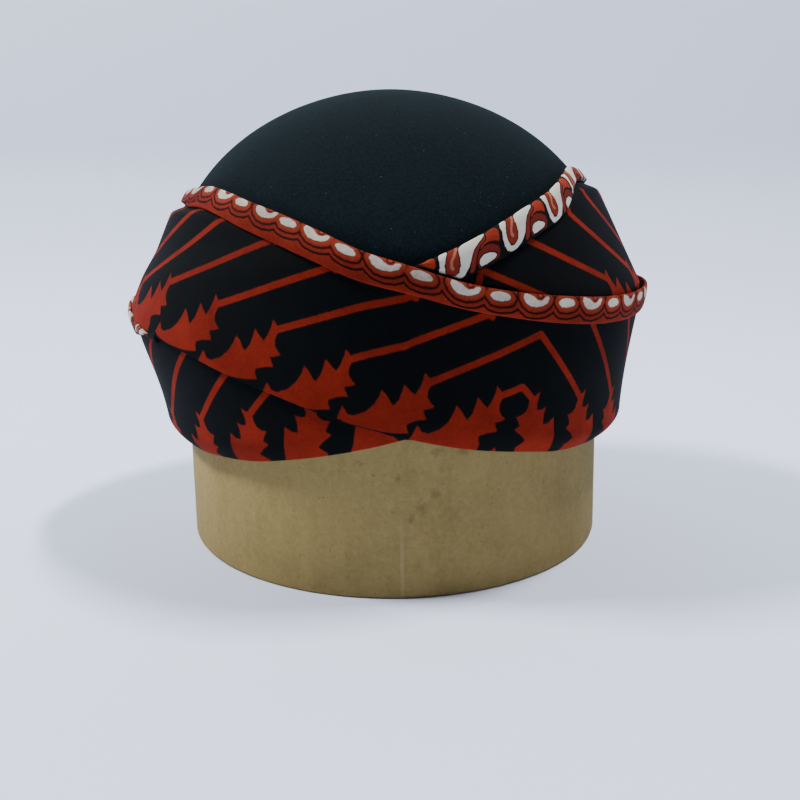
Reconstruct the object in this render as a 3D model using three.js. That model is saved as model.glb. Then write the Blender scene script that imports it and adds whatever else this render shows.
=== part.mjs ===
// A songkok dressed with two crossed bands of batik cloth, standing on a plain wooden hat block.
// Millimetres, +Z up. The front faces -Y. The origin is the centre of the block's underside.

import * as THREE from 'three';

// Driving dimensions

const blockWidth = 162;
const blockDepth = 191;
const rimHeight = 41; // underside of the block to the lowest stretch of the hat's rim
const wallHeight = 61; // rim to where the dome springs
const domeRise = 67.6;
const domePower = 1.92; // 2 would be an ellipsoid, more is fuller at the shoulder

const crownWall = 2;
const clothWall = 1.2;
const layerGap = 0.3; // between two cloths, and between cloth and felt
const blockGap = 0.4; // between the block and what sits on it
const edgeGap = 0.5; // between two edges that meet side by side

const notchRise = 15; // the rest of this group is measured up from the rim
const leftRidgeRise = 49;
const rightRidgeRise = 54.3;
const backRidgeRise = 51.5;
const crossingRise = 71.2;
const frontCornerRise = 94.6;
const underCornerRise = 99;
const backCornerRise = 94;

const wideHem = 9.7;
const narrowHem = 8;
const curlHeight = 8; // the rim rolls in towards the head over this height
const crownHem = 3; // the felt starts this far above the roll
const rightHip = 5.4; // how far the bands stand out just above the roll of the rim
const leftHip = 3.8;
const rightBulge = 12.7; // how far they stand out at the ridge
const leftBulge = 14.5;
const rightFlare = 2; // how sharply they flare out from hip to ridge: 1 would be straight
const leftFlare = 1.4;
const leftHump = 1.5; // and a swelling just below the left ridge
const tailLip = 1; // how much farther the under hem leans out at the left tip
const shoulderStep = 4.2; // the panels stand out by this much just below the hem at the sides
const shoulderHeight = 2.4;
const sidePower = 2.2; // the higher, the more the bulge keeps to the sides
const shoulderPower = 4;
const foldTuck = 3; // how much higher the hidden fold of the under wrap starts
const settleStart = 8; // this far above the under wrap's hidden edge the front wrap starts to sink
const settleEnd = 22; // and here it lies on the felt
const hiddenFoldDrop = 5; // how far a fold reaches down behind the band that covers it
const leastClimb = 1; // from ridge to shoulder, where the panel between them has no height left
const slopeProbe = 1.5; // how far above and below a point the slope of the surface is taken

const columnStep = 6; // degrees
const leastColumn = 1; // degrees from a cloth's end to the column next to it
const wallRows = 3;
const domeRows = 9;
const rollRows = 3;
const frontRows = 4;
const underRows = 6;
const hemRows = 2;

// Each wrap has an upper arm on one side of the front and a lower arm on the other.
// angle: degrees round from the front. fold and rim: the lower edge of an upper arm, as a share of the
// rise from notch to left ridge, and of a lower arm, as a share of the notch's rise.
// frontHem and underHem: the top edge of each wrap's upper arm, as shares of the rise from the crossing to
// its corner. lowHem and tailHem: the top edge of the front wrap's lower arm on the right and of the under
// wrap's on the left, as shares of the rise from that side's ridge to the crossing.
const edgeRows = [
  { angle: 0, fold: 0, rim: 1, frontHem: 0, underHem: 0, lowHem: 1, tailHem: 1 },
  { angle: 10, fold: 0.127, rim: 0.76, frontHem: 0.19, underHem: 0.18, lowHem: 0.72, tailHem: 0.77 },
  { angle: 20, fold: 0.28, rim: 0.553, frontHem: 0.455, underHem: 0.39, lowHem: 0.49, tailHem: 0.6 },
  { angle: 30, fold: 0.435, rim: 0.367, frontHem: 0.66, underHem: 0.585, lowHem: 0.28, tailHem: 0.46 },
  { angle: 40, fold: 0.57, rim: 0.2, frontHem: 0.81, underHem: 0.74, lowHem: 0.13, tailHem: 0.36 },
  { angle: 50, fold: 0.71, rim: 0.11, frontHem: 0.936, underHem: 0.9, lowHem: 0.04, tailHem: 0.28 },
  { angle: 60, fold: 0.81, rim: 0.03, frontHem: 1, underHem: 1, lowHem: 0, tailHem: 0.2 },
  { angle: 70, fold: 0.88, rim: 0, frontHem: 0.97, underHem: 0.97, lowHem: 0, tailHem: 0.1 },
  { angle: 80, fold: 0.95, rim: 0, frontHem: 0.93, underHem: 0.91, lowHem: 0, tailHem: 0.02 },
  { angle: 84, fold: 1, rim: 0, frontHem: 0.92, underHem: 0.9, lowHem: 0, tailHem: 0 },
];

// Angles in degrees round from the front, positive towards +X

const backAngle = 150; // from here round to the seam the edges run level
const swapStart = -84; // round the left tip the two wraps change places, over and under
const swapEnd = -96;
const underHemStart = 1.5; // where the under hem comes out from under the crossing
const tailHemStart = -62; // where it comes out again under the left tip
const tailHemProud = -78; // from here on it stands proud of the fold above it
const narrowHemAngle = -60; // the hem of an upper arm is narrow out to here
const wideHemAngle = -15; // and wide from here on
const rimSettleStart = 6; // the front wrap's rim lies over the under wrap's up to here
const rimSettleEnd = 30; // and on the block from here on

// Heights above the block's underside

const springHeight = rimHeight + wallHeight;
const notchHeight = rimHeight + notchRise;
const leftRidgeHeight = rimHeight + leftRidgeRise;
const rightRidgeHeight = rimHeight + rightRidgeRise;
const backRidgeHeight = rimHeight + backRidgeRise;
const crossingHeight = rimHeight + crossingRise;
const frontCornerHeight = rimHeight + frontCornerRise;
const underCornerHeight = rimHeight + underCornerRise;
const backCornerHeight = rimHeight + backCornerRise;
const layerStep = clothWall + layerGap;
const seamAngle = THREE.MathUtils.radToDeg(edgeGap / blockDepth);

const { clamp, degToRad, lerp, smoothstep } = THREE.MathUtils;

// A smooth curve through table rows that never swings past them.
function monotoneCurve(points) {
  const slopes = points.slice(1).map((next, i) => (next.y - points[i].y) / (next.x - points[i].x));
  const tangents = points.map((point, i) => {
    const before = slopes[i - 1] ?? slopes[0];
    const after = slopes[i] ?? slopes[slopes.length - 1];
    return before * after <= 0 ? 0 : (2 * before * after) / (before + after);
  });
  return (x) => {
    const last = points.length - 1;
    const place = clamp(x, points[0].x, points[last].x);
    const found = points.findIndex((point) => point.x >= place);
    const right = Math.max(1, found);
    const left = right - 1;
    const span = points[right].x - points[left].x;
    const t = (place - points[left].x) / span;
    const rise = points[right].y - points[left].y;
    const cubic = rise * t * t * (3 - 2 * t);
    const leaving = tangents[left] * span * t * (1 - t) * (1 - t);
    const arriving = tangents[right] * span * t * t * (1 - t);
    return points[left].y + cubic + leaving - arriving;
  };
}

// One edge all the way round: upperArm gives heights at negative angles, lowerArm at positive ones,
// and the two back heights are where they run level.
function edgeCurve(upperArm, lowerArm, upperBack, lowerBack) {
  const upper = edgeRows.slice(1).reverse().map((row) => new THREE.Vector2(-row.angle, upperArm(row)));
  const lower = edgeRows.map((row) => new THREE.Vector2(row.angle, lowerArm(row)));
  const backs = [new THREE.Vector2(-backAngle, upperBack), new THREE.Vector2(backAngle, lowerBack)];
  return monotoneCurve([backs[0], ...upper, ...lower, backs[1]]);
}

const foldCurve = edgeCurve(
  (row) => lerp(notchHeight, leftRidgeHeight, row.fold),
  (row) => lerp(rimHeight, notchHeight, row.rim),
  backRidgeHeight,
  rimHeight,
);
const frontTop = edgeCurve(
  (row) => lerp(crossingHeight, frontCornerHeight, row.frontHem),
  (row) => lerp(rightRidgeHeight, crossingHeight, row.lowHem),
  backCornerHeight,
  backRidgeHeight,
);
const mirroredUnderTop = edgeCurve(
  (row) => lerp(crossingHeight, underCornerHeight, row.underHem),
  (row) => lerp(leftRidgeHeight, crossingHeight, row.tailHem),
  backCornerHeight,
  backRidgeHeight,
);
const underTop = (angle) => mirroredUnderTop(-angle);

// The share of the swap that is done: 0 in front of the left tip, 1 behind it.
const swapShare = (angle) => 1 - smoothstep(angle, swapEnd, swapStart);

function frontLow(angle) {
  if (angle >= swapStart) return foldCurve(angle) + edgeGap * smoothstep(-angle, 0, -swapStart);
  const behind = swapEnd - columnStep;
  const drop = 1 - smoothstep(angle, behind, swapEnd);
  return underTop(angle) + edgeGap - (hiddenFoldDrop + edgeGap) * drop;
}

function underLow(angle) {
  if (angle <= 0) return foldCurve(-angle);
  const tucked = foldCurve(-angle) + foldTuck * smoothstep(angle, 0, columnStep);
  return Math.min(tucked, frontTop(angle) - hiddenFoldDrop);
}

const rimLine = (angle) => foldCurve(Math.abs(angle));
const leftRidgeLine = (angle) => (angle < swapStart ? underTop(angle) : foldCurve(angle));
const ridgeLine = (angle) => (angle < 0 ? leftRidgeLine(angle) : frontTop(angle));
const hemTopLine = (angle) => (angle < 0 ? frontTop(angle) : underTop(angle));

// How tall the printed hem is. armAngle is negative on the upper arm.
const hemHeight = (armAngle) => lerp(narrowHem, wideHem, smoothstep(armAngle, narrowHemAngle, wideHemAngle));
const frontHemLow = (angle) => frontTop(angle) - hemHeight(angle);
const underHemLow = (angle) => underTop(angle) - hemHeight(-angle);

const domeShare = (height) => {
  const share = clamp((height - springHeight) / domeRise, 0, 1);
  return (1 - share * share) ** (1 / domePower);
};

const crownOutset = blockGap + crownWall;
const crownHalf = (blockHalf, height) => (blockHalf + crownOutset) * domeShare(height);

function softMax(a, b, blend) {
  const near = Math.max(blend - Math.abs(a - b), 0) / blend;
  return Math.max(a, b) + (near * near * blend) / 4;
}

// A hump with its top, of height 1, at a share of 4/5
const humpShape = (share) => (share ** 4 * (1 - share)) / (0.8 ** 4 * 0.2);

// The surface that the inner cloth lies on, as the half axis of the oval at one height.
function baseHalf(angle, height, blockHalf) {
  const side = Math.abs(Math.sin(degToRad(angle)));
  const left = angle < 0;
  const bulge = (left ? leftBulge : rightBulge) * side ** sidePower;
  const rim = rimLine(angle);
  const ridge = ridgeLine(angle);
  const onCrown = crownHalf(blockHalf, height) + layerGap;
  let full;
  if (height < ridge) {
    const share = clamp((height - rim) / (ridge - rim), 0, 1);
    const hip = (left ? leftHip : rightHip) * side * smoothstep(side, 0, 0.5);
    const flared = lerp(hip, bulge, share ** (left ? leftFlare : rightFlare));
    const swelling = left ? leftHump * side * side * humpShape(share) : 0;
    full = onCrown + flared + swelling;
  } else {
    const shoulder = shoulderStep * side ** shoulderPower;
    const shoulderTop = hemTopLine(angle) - hemHeight(-Math.abs(angle));
    const shoulderLow = Math.max(shoulderTop - shoulderHeight, ridge);
    const atRidge = crownHalf(blockHalf, ridge) + layerGap + bulge;
    const atShoulder = crownHalf(blockHalf, shoulderLow) + layerGap + shoulder;
    const climb = (height - ridge) / Math.max(shoulderLow - ridge, leastClimb);
    const step = onCrown + shoulder * (1 - smoothstep(height, shoulderLow, shoulderTop));
    full = climb < 1 ? softMax(lerp(atRidge, atShoulder, climb), onCrown, layerGap * 2) : step;
  }
  const roll = clamp(1 - (height - rim) / curlHeight, 0, 1);
  return lerp(full, blockHalf + blockGap, roll * roll);
}

function ovalPoint(angle, halfWidth, halfDepth, height) {
  const turn = degToRad(angle);
  return new THREE.Vector3(halfWidth * Math.sin(turn), -halfDepth * Math.cos(turn), height);
}

const basePoint = (angle, height) => ovalPoint(
  angle,
  baseHalf(angle, height, blockWidth / 2),
  baseHalf(angle, height, blockDepth / 2),
  height,
);

// A point that stands off the base surface, square to it.
function clothPoint(angle, height, standoff) {
  const above = basePoint(angle, height + slopeProbe);
  const below = basePoint(angle, height - slopeProbe);
  const slope = (Math.hypot(above.x, above.y) - Math.hypot(below.x, below.y)) / (2 * slopeProbe);
  const outward = standoff / Math.hypot(1, slope);
  return ovalPoint(
    angle,
    baseHalf(angle, height, blockWidth / 2) + outward,
    baseHalf(angle, height, blockDepth / 2) + outward,
    height - outward * slope,
  );
}

// Standoff of each wrap's inner face

function frontStandoff(angle, height) {
  const overUnderWrap = layerStep * (1 - swapShare(angle));
  if (angle < 0) {
    const settle = smoothstep(height - underTop(angle), settleStart, settleEnd);
    return overUnderWrap * (1 - settle);
  }
  const rimShare = 1 - smoothstep(angle, rimSettleStart, rimSettleEnd);
  const climb = smoothstep(height, frontLow(angle), underLow(angle) - foldTuck);
  return overUnderWrap * lerp(rimShare, 1, climb);
}

const underStandoff = (angle) => layerStep * swapShare(angle);

// The under hem comes out flat below the fold, then leans out like a lip round the left tip.
function tailStandoff(angle, height) {
  const proud = smoothstep(-angle, -tailHemStart, -tailHemProud);
  const lip = tailLip * proud * smoothstep(angle, -backAngle, swapEnd);
  const climb = (height - underHemLow(angle)) / wideHem;
  return layerStep * (1 + proud) + lip * climb;
}

// Column angles shared by all pieces, so that neighbours keep their gap.
function columnAngles(start, end) {
  const inner = [];
  for (let angle = -180 + columnStep; angle < 180; angle += columnStep) {
    if (angle > start + leastColumn && angle < end - leastColumn) inner.push(angle);
  }
  return [start, ...inner, end];
}

function solidFrom(points, triangles, material, name) {
  const geometry = new THREE.BufferGeometry().setFromPoints(points);
  geometry.setIndex(triangles);
  geometry.computeVertexNormals();
  const mesh = new THREE.Mesh(geometry, material);
  mesh.name = name;
  return mesh;
}

const evenHeights = (low, top, rows) => Array.from({ length: rows + 1 }, (_, i) => lerp(low, top, i / rows));

// The rows of a whole wrap: the roll of its lower edge, the panel, the step below the hem, and the hem.
function wrapHeights(low, hemLow, top, rows) {
  const roll = evenHeights(low, low + curlHeight, rollRows);
  const panel = evenHeights(low + curlHeight, hemLow - shoulderHeight, rows);
  return [...roll, ...panel.slice(1), ...evenHeights(hemLow, top, hemRows)];
}

// A sheet of cloth with an outer and an inner face, a lower and an upper edge and two ends.
// heights gives the heights of its rows at an angle, from the lower edge up.
function clothBand({ name, material, start, end, heights, standoff }) {
  const angles = columnAngles(start, end);
  const points = [];
  const triangles = [];
  const stride = heights(start).length;
  const rows = stride - 1;
  const faceSize = angles.length * stride;
  for (const wall of [0, clothWall]) {
    for (const angle of angles) {
      for (const height of heights(angle)) {
        points.push(clothPoint(angle, height, standoff(angle, height) + wall));
      }
    }
  }
  const quad = (a, b, c, d) => triangles.push(a, b, c, a, c, d);
  for (let column = 0; column < angles.length - 1; column += 1) {
    const near = column * stride;
    const far = near + stride;
    for (let row = 0; row < rows; row += 1) {
      quad(near + row, near + row + 1, far + row + 1, far + row);
      const outer = faceSize + row;
      quad(outer + near, outer + far, outer + far + 1, outer + near + 1);
    }
    quad(near, far, faceSize + far, faceSize + near);
    quad(near + rows, faceSize + near + rows, faceSize + far + rows, far + rows);
  }
  const lastColumn = faceSize - stride;
  for (let row = 0; row < rows; row += 1) {
    quad(row, faceSize + row, faceSize + row + 1, row + 1);
    const end = lastColumn + row;
    quad(end, end + 1, faceSize + end + 1, faceSize + end);
  }
  return solidFrom(points, triangles, material, name);
}

// Rings of points joined up into one skin, with a middle point closing each end.
function ringSolid(name, material, rings, middles) {
  const points = rings.flat();
  const count = rings[0].length;
  const triangles = [];
  for (let ring = 0; ring < rings.length - 1; ring += 1) {
    for (let i = 0; i < count; i += 1) {
      const next = (i + 1) % count;
      const a = ring * count + i;
      const b = ring * count + next;
      triangles.push(a, b, b + count, a, b + count, a + count);
    }
  }
  const firstMiddle = points.length;
  points.push(...middles);
  const lastRing = (rings.length - 1) * count;
  for (let i = 0; i < count; i += 1) {
    const next = (i + 1) % count;
    triangles.push(firstMiddle, next, i);
    triangles.push(firstMiddle + 1, lastRing + i, lastRing + next);
  }
  return solidFrom(points, triangles, material, name);
}

// Rings of a domed oval, from the bottom up. inset is how far it lies inside the felt's outer face.
function domeRings(inset, lowEdge) {
  const angles = columnAngles(-180, 180).slice(1);
  const halfWidth = blockWidth / 2 + crownOutset - inset;
  const halfDepth = blockDepth / 2 + crownOutset - inset;
  const rise = domeRise - inset;
  const rings = [];
  for (let row = 0; row < wallRows; row += 1) {
    rings.push(angles.map((angle) => {
      const height = lerp(lowEdge(angle), springHeight, row / wallRows);
      return ovalPoint(angle, halfWidth, halfDepth, height);
    }));
  }
  for (let row = 0; row < domeRows; row += 1) {
    const climb = (row / domeRows) * (Math.PI / 2);
    const share = Math.sin(climb);
    const shrink = (1 - share * share) ** (1 / domePower);
    rings.push(angles.map((angle) => ovalPoint(
      angle,
      halfWidth * shrink,
      halfDepth * shrink,
      springHeight + rise * share,
    )));
  }
  const apex = new THREE.Vector3(0, 0, springHeight + rise);
  return { rings, apex };
}

function hatBlock() {
  const { rings, apex } = domeRings(crownOutset, () => 0);
  return ringSolid('hat_block', woodMaterial, rings, [new THREE.Vector3(0, 0, 0), apex]);
}

function crown() {
  const lowEdge = (angle) => rimLine(angle) + curlHeight + crownHem;
  const outer = domeRings(0, lowEdge);
  const inner = domeRings(crownWall, lowEdge);
  const rings = [...inner.rings.reverse(), ...outer.rings];
  return ringSolid('crown', feltMaterial, rings, [inner.apex, outer.apex]);
}

const finish = (color, roughness) => new THREE.MeshStandardMaterial({ color, roughness, metalness: 0 });
const woodMaterial = finish('#9c8c66', 0.8);
const feltMaterial = finish('#1b2a2c', 1);
const clothMaterial = finish('#121619', 0.9);
const hemMaterial = finish('#a8341f', 0.9);

const backLeft = -180 + seamAngle;
const backRight = 180 - seamAngle;

function underWrap() {
  return clothBand({
    name: 'under_wrap',
    material: clothMaterial,
    start: backLeft,
    end: backRight,
    heights: (angle) => wrapHeights(underLow(angle), underHemLow(angle), underTop(angle), underRows),
    standoff: underStandoff,
  });
}

function frontWrap() {
  return clothBand({
    name: 'front_wrap',
    material: clothMaterial,
    start: backLeft,
    end: backRight,
    heights: (angle) => wrapHeights(frontLow(angle), frontHemLow(angle), frontTop(angle), frontRows),
    standoff: frontStandoff,
  });
}

function frontBorder() {
  return clothBand({
    name: 'front_border',
    material: hemMaterial,
    start: backLeft,
    end: backRight,
    heights: (angle) => evenHeights(frontHemLow(angle), frontTop(angle), hemRows),
    standoff: (angle, height) => frontStandoff(angle, height) + layerStep,
  });
}

function underBorder() {
  return clothBand({
    name: 'under_border',
    material: hemMaterial,
    start: underHemStart,
    end: backRight,
    heights: (angle) => {
      const low = Math.max(underHemLow(angle), frontTop(angle) + edgeGap);
      return evenHeights(low, underTop(angle), hemRows);
    },
    standoff: (angle) => underStandoff(angle) + layerStep,
  });
}

function underBorderTail() {
  return clothBand({
    name: 'under_border_tail',
    material: hemMaterial,
    start: backLeft,
    end: tailHemStart,
    heights: (angle) => {
      const top = Math.min(underTop(angle), leftRidgeLine(angle));
      return evenHeights(underHemLow(angle), top, hemRows);
    },
    standoff: tailStandoff,
  });
}

const songkok = new THREE.Group();
songkok.add(hatBlock(), crown(), underWrap(), frontWrap(), frontBorder(), underBorder(), underBorderTail());

export default songkok;
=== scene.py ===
# %% [markdown]
# # A songkok with a batik wrap, on its hat block
# The hat is a stiff felt cap. Two folded bands of black cotton cross over the forehead, and each ends
# in a printed hem. The cap stands on a plain wooden block. Blender gives the looks here: the solids from
# the CAD model say where everything is, and each piece is made again over its solid, finer and softer.

# %% Load the fixed frame
import math

import bpy
import numpy as np
from mathutils import Matrix, Vector


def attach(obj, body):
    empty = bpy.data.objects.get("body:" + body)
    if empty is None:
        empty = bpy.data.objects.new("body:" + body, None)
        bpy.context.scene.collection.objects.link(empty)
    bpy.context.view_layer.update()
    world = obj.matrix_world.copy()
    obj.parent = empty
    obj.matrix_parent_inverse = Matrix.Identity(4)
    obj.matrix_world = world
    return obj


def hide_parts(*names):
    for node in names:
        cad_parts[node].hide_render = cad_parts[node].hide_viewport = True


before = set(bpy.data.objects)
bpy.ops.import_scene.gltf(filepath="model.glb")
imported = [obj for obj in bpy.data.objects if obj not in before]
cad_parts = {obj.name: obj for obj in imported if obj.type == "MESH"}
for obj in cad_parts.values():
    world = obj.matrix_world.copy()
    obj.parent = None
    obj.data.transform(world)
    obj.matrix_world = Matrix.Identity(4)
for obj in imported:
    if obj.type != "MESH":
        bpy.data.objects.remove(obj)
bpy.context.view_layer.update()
MM = 0.001
print("CAD nodes:", sorted(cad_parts))

# %% [markdown]
# ## Camera
# The camera stands a little to the left of the hat and looks down on it by about twelve degrees. A lens
# of 49.5 mm on a full frame is close to what the eye sees, so the hat keeps its natural proportions.

# %% Place the camera
CAMERA_PLACE = (-28.153, -438.911, 144.022)
CAMERA_DOWN = math.radians(12.44)
CAMERA_YAW = math.radians(4.1)
CAMERA_ROLL = math.radians(0.95)
CAMERA_LENS = 49.5

forward = Vector((
    math.sin(CAMERA_YAW) * math.cos(CAMERA_DOWN),
    math.cos(CAMERA_YAW) * math.cos(CAMERA_DOWN),
    -math.sin(CAMERA_DOWN),
))
level_right = Vector((math.cos(CAMERA_YAW), -math.sin(CAMERA_YAW), 0))
level_up = level_right.cross(forward)
right = level_right * math.cos(CAMERA_ROLL) - level_up * math.sin(CAMERA_ROLL)
up = level_right * math.sin(CAMERA_ROLL) + level_up * math.cos(CAMERA_ROLL)

camera_data = bpy.data.cameras.new("camera")
camera_data.lens = CAMERA_LENS
camera_data.clip_start = 0.01
camera = bpy.data.objects.new("camera", camera_data)
bpy.context.scene.collection.objects.link(camera)
bpy.context.scene.camera = camera
axes = Matrix((right, up, -forward)).transposed().to_4x4()
camera.matrix_world = Matrix.Translation(Vector(CAMERA_PLACE) * MM) @ axes
print("camera looks along", [round(part, 3) for part in forward])

# %% [markdown]
# ## Sizes
# All sizes are millimetres and are those of the CAD model, so each new piece lies on the solid that it
# stands for. Cloth is softer than a solid, so three forms go a little further here: the tail's lip stands
# out 1 mm more, the shoulder is lifted at the sides, and the hem curls up at the right side. Most heights
# are written as a rise above the rim.

# %% Sizes of the block, the cap and the bands
BLOCK_WIDTH, BLOCK_DEPTH = 162, 191
RIM_HEIGHT = 41
SPRING_HEIGHT = RIM_HEIGHT + 61
DOME_RISE = 67.6
DOME_POWER = 1.92
CROWN_WALL = 2
CLOTH_WALL = 1.2
LAYER_GAP = 0.3
BLOCK_GAP = 0.4
EDGE_GAP = 0.5
LAYER_STEP = CLOTH_WALL + LAYER_GAP
CROWN_OUTSET = BLOCK_GAP + CROWN_WALL

NOTCH = RIM_HEIGHT + 15
LEFT_RIDGE = RIM_HEIGHT + 49
RIGHT_RIDGE = RIM_HEIGHT + 54.3
BACK_RIDGE = RIM_HEIGHT + 51.5
CROSSING = RIM_HEIGHT + 71.2
FRONT_CORNER = RIM_HEIGHT + 94.6
UNDER_CORNER = RIM_HEIGHT + 99
BACK_CORNER = RIM_HEIGHT + 94

WIDE_HEM, NARROW_HEM = 9.7, 8
CURL_HEIGHT = 8
RIGHT_HIP, LEFT_HIP = 5.4, 3.8
RIGHT_BULGE, LEFT_BULGE = 12.7, 14.5
RIGHT_FLARE, LEFT_FLARE = 2, 1.4
LEFT_HUMP = 1.5
TAIL_LIP = 2
SHOULDER_STEP, SHOULDER_HEIGHT = 4.2, 2.4
SHOULDER_LIFT_RIGHT, SHOULDER_LIFT_LEFT = 2.3, 0.5
SIDE_POWER, SHOULDER_POWER = 2.2, 4
HIP_FULL_SIDE, HUMP_PEAK = 0.5, 0.8
FOLD_TUCK = 3
SETTLE_START, SETTLE_END = 8, 22
HIDDEN_FOLD_DROP = 5
LEAST_CLIMB = 1
SLOPE_PROBE = 1.5
SIDE_CURL = 0.8
print("hat from", RIM_HEIGHT, "to", SPRING_HEIGHT + DOME_RISE, "mm high, ridges near", LEFT_RIDGE, "mm")

# %% [markdown]
# ### Where the edges of the cloth run
# Angles go round from the front in degrees, positive towards the viewer's right. The table gives the
# edges of the bands in shares of the rises above, one row for each angle, as in the CAD model. A table
# in shares was chosen because every edge then follows when one of the heights is changed.

# %% Angles and the table of edges
BACK_ANGLE = 150
SWAP_START, SWAP_END = -84, -96
UNDER_HEM_START = 1.5
TAIL_HEM_START, TAIL_HEM_PROUD = -62, -78
NARROW_HEM_ANGLE, WIDE_HEM_ANGLE = -60, -15
RIM_SETTLE_START, RIM_SETTLE_END = 6, 30
DROP_SPAN = 6
CURL_START, CURL_FULL, CURL_FADE = 35, 92, 112

# angle, fold, rim, front hem, under hem, low hem, tail hem
EDGE_ROWS = np.array([
    (0, 0, 1, 0, 0, 1, 1),
    (10, 0.127, 0.76, 0.19, 0.18, 0.72, 0.77),
    (20, 0.28, 0.553, 0.455, 0.39, 0.49, 0.6),
    (30, 0.435, 0.367, 0.66, 0.585, 0.28, 0.46),
    (40, 0.57, 0.2, 0.81, 0.74, 0.13, 0.36),
    (50, 0.71, 0.11, 0.936, 0.9, 0.04, 0.28),
    (60, 0.81, 0.03, 1, 1, 0, 0.2),
    (70, 0.88, 0, 0.97, 0.97, 0, 0.1),
    (80, 0.95, 0, 0.93, 0.91, 0, 0.02),
    (84, 1, 0, 0.92, 0.9, 0, 0),
])
ANGLES, FOLD, RIM, FRONT_HEM, UNDER_HEM, LOW_HEM, TAIL_HEM = EDGE_ROWS.T
print("edges are given at", len(ANGLES), "angles on each side")


def lerp(a, b, share):
    return a + (b - a) * share


def smoothstep(x, low, high):
    share = np.clip((x - low) / (high - low), 0, 1)
    return share * share * (3 - 2 * share)


# %% [markdown]
# ### Smooth edges
# Cloth edges are drawn as smooth curves that never swing past their table rows. The slope at each row is
# the harmonic mean of the slopes beside it, which is how a bent spline lies when it isn't forced.

# %% Smooth edge curves
def smooth_curve(xs, ys):
    xs, ys = np.array(xs, float), np.array(ys, float)
    slopes = np.diff(ys) / np.diff(xs)
    before = np.concatenate([slopes[:1], slopes])
    after = np.concatenate([slopes, slopes[-1:]])
    both = np.where(before + after == 0, 1, before + after)
    tangents = np.where(before * after <= 0, 0, 2 * before * after / both)

    def at(x):
        place = np.clip(x, xs[0], xs[-1])
        right_row = np.clip(np.searchsorted(xs, place), 1, len(xs) - 1)
        left_row = right_row - 1
        span = xs[right_row] - xs[left_row]
        t = (place - xs[left_row]) / span
        cubic = (ys[right_row] - ys[left_row]) * t * t * (3 - 2 * t)
        leaving = tangents[left_row] * span * t * (1 - t) ** 2
        arriving = tangents[right_row] * span * t * t * (1 - t)
        return ys[left_row] + cubic + leaving - arriving

    return at


def edge_curve(upper, lower, upper_back, lower_back):
    xs = [-BACK_ANGLE, *-ANGLES[:0:-1], *ANGLES, BACK_ANGLE]
    return smooth_curve(xs, [upper_back, *upper[:0:-1], *lower, lower_back])


fold_height = edge_curve(
    lerp(NOTCH, LEFT_RIDGE, FOLD), lerp(RIM_HEIGHT, NOTCH, RIM), BACK_RIDGE, RIM_HEIGHT)
solid_front_top = edge_curve(
    lerp(CROSSING, FRONT_CORNER, FRONT_HEM), lerp(RIGHT_RIDGE, CROSSING, LOW_HEM), BACK_CORNER, BACK_RIDGE)
mirrored_under_top = edge_curve(
    lerp(CROSSING, UNDER_CORNER, UNDER_HEM), lerp(LEFT_RIDGE, CROSSING, TAIL_HEM), BACK_CORNER, BACK_RIDGE)


def front_top(angle):
    """As in the CAD model, and curling up a little more at the right side."""
    curl = smoothstep(angle, CURL_START, CURL_FULL) * (1 - smoothstep(angle, CURL_FADE, BACK_ANGLE))
    return solid_front_top(angle) + SIDE_CURL * curl


def under_top(angle):
    return mirrored_under_top(-angle)


def swap_share(angle):
    return 1 - smoothstep(angle, SWAP_END, SWAP_START)


def front_low(angle):
    ahead = fold_height(angle) + EDGE_GAP * smoothstep(-angle, 0, -SWAP_START)
    drop = 1 - smoothstep(angle, SWAP_END - DROP_SPAN, SWAP_END)
    behind = under_top(angle) + EDGE_GAP - (HIDDEN_FOLD_DROP + EDGE_GAP) * drop
    return np.where(angle >= SWAP_START, ahead, behind)


def under_low(angle):
    tucked = fold_height(-angle) + FOLD_TUCK * smoothstep(angle, 0, DROP_SPAN)
    hidden = np.minimum(tucked, front_top(angle) - HIDDEN_FOLD_DROP)
    return np.where(angle <= 0, fold_height(-angle), hidden)


def rim_line(angle):
    return fold_height(np.abs(angle))


def left_ridge_line(angle):
    return np.where(angle < SWAP_START, under_top(angle), fold_height(angle))


def ridge_line(angle):
    return np.where(angle < 0, left_ridge_line(angle), front_top(angle))


def hem_top_line(angle):
    return np.where(angle < 0, front_top(angle), under_top(angle))


def hem_height(arm_angle):
    return lerp(NARROW_HEM, WIDE_HEM, smoothstep(arm_angle, NARROW_HEM_ANGLE, WIDE_HEM_ANGLE))


def front_hem_low(angle):
    return front_top(angle) - hem_height(angle)


def under_hem_low(angle):
    return under_top(angle) - hem_height(-angle)


print("rim at the front", round(float(rim_line(0.0)), 1), "mm")
print("crossing of the bands", round(float(front_top(0.0)), 1), "mm")

# %% [markdown]
# ## The surface under the cloth
# The bands hug the felt at the front and stand well away from it at the sides, where they flare out to a
# ridge and lean back to the shoulder. The surface is an oval at each height. Each layer of cloth then
# stands off it, square to it, so that layers never cut through each other.

# %% Ovals of the cap and of the inner cloth
def dome_share(height):
    share = np.clip((height - SPRING_HEIGHT) / DOME_RISE, 0, 1)
    return (1 - share * share) ** (1 / DOME_POWER)


def crown_half(block_half, height):
    return (block_half + CROWN_OUTSET) * dome_share(height)


def soft_max(a, b, blend):
    near = np.maximum(blend - np.abs(a - b), 0) / blend
    return np.maximum(a, b) + near * near * blend / 4


def hump_shape(share):
    """A swelling that is one at its peak and nothing at both ends."""
    return share**4 * (1 - share) / (HUMP_PEAK**4 * (1 - HUMP_PEAK))


def shoulder_lift(angle):
    """At the sides the shoulder of the cloth stands higher, and the hem's low edge with it."""
    lift = np.where(angle < 0, SHOULDER_LIFT_LEFT, SHOULDER_LIFT_RIGHT)
    return lift * np.abs(np.sin(np.radians(angle))) ** SHOULDER_POWER


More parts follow.
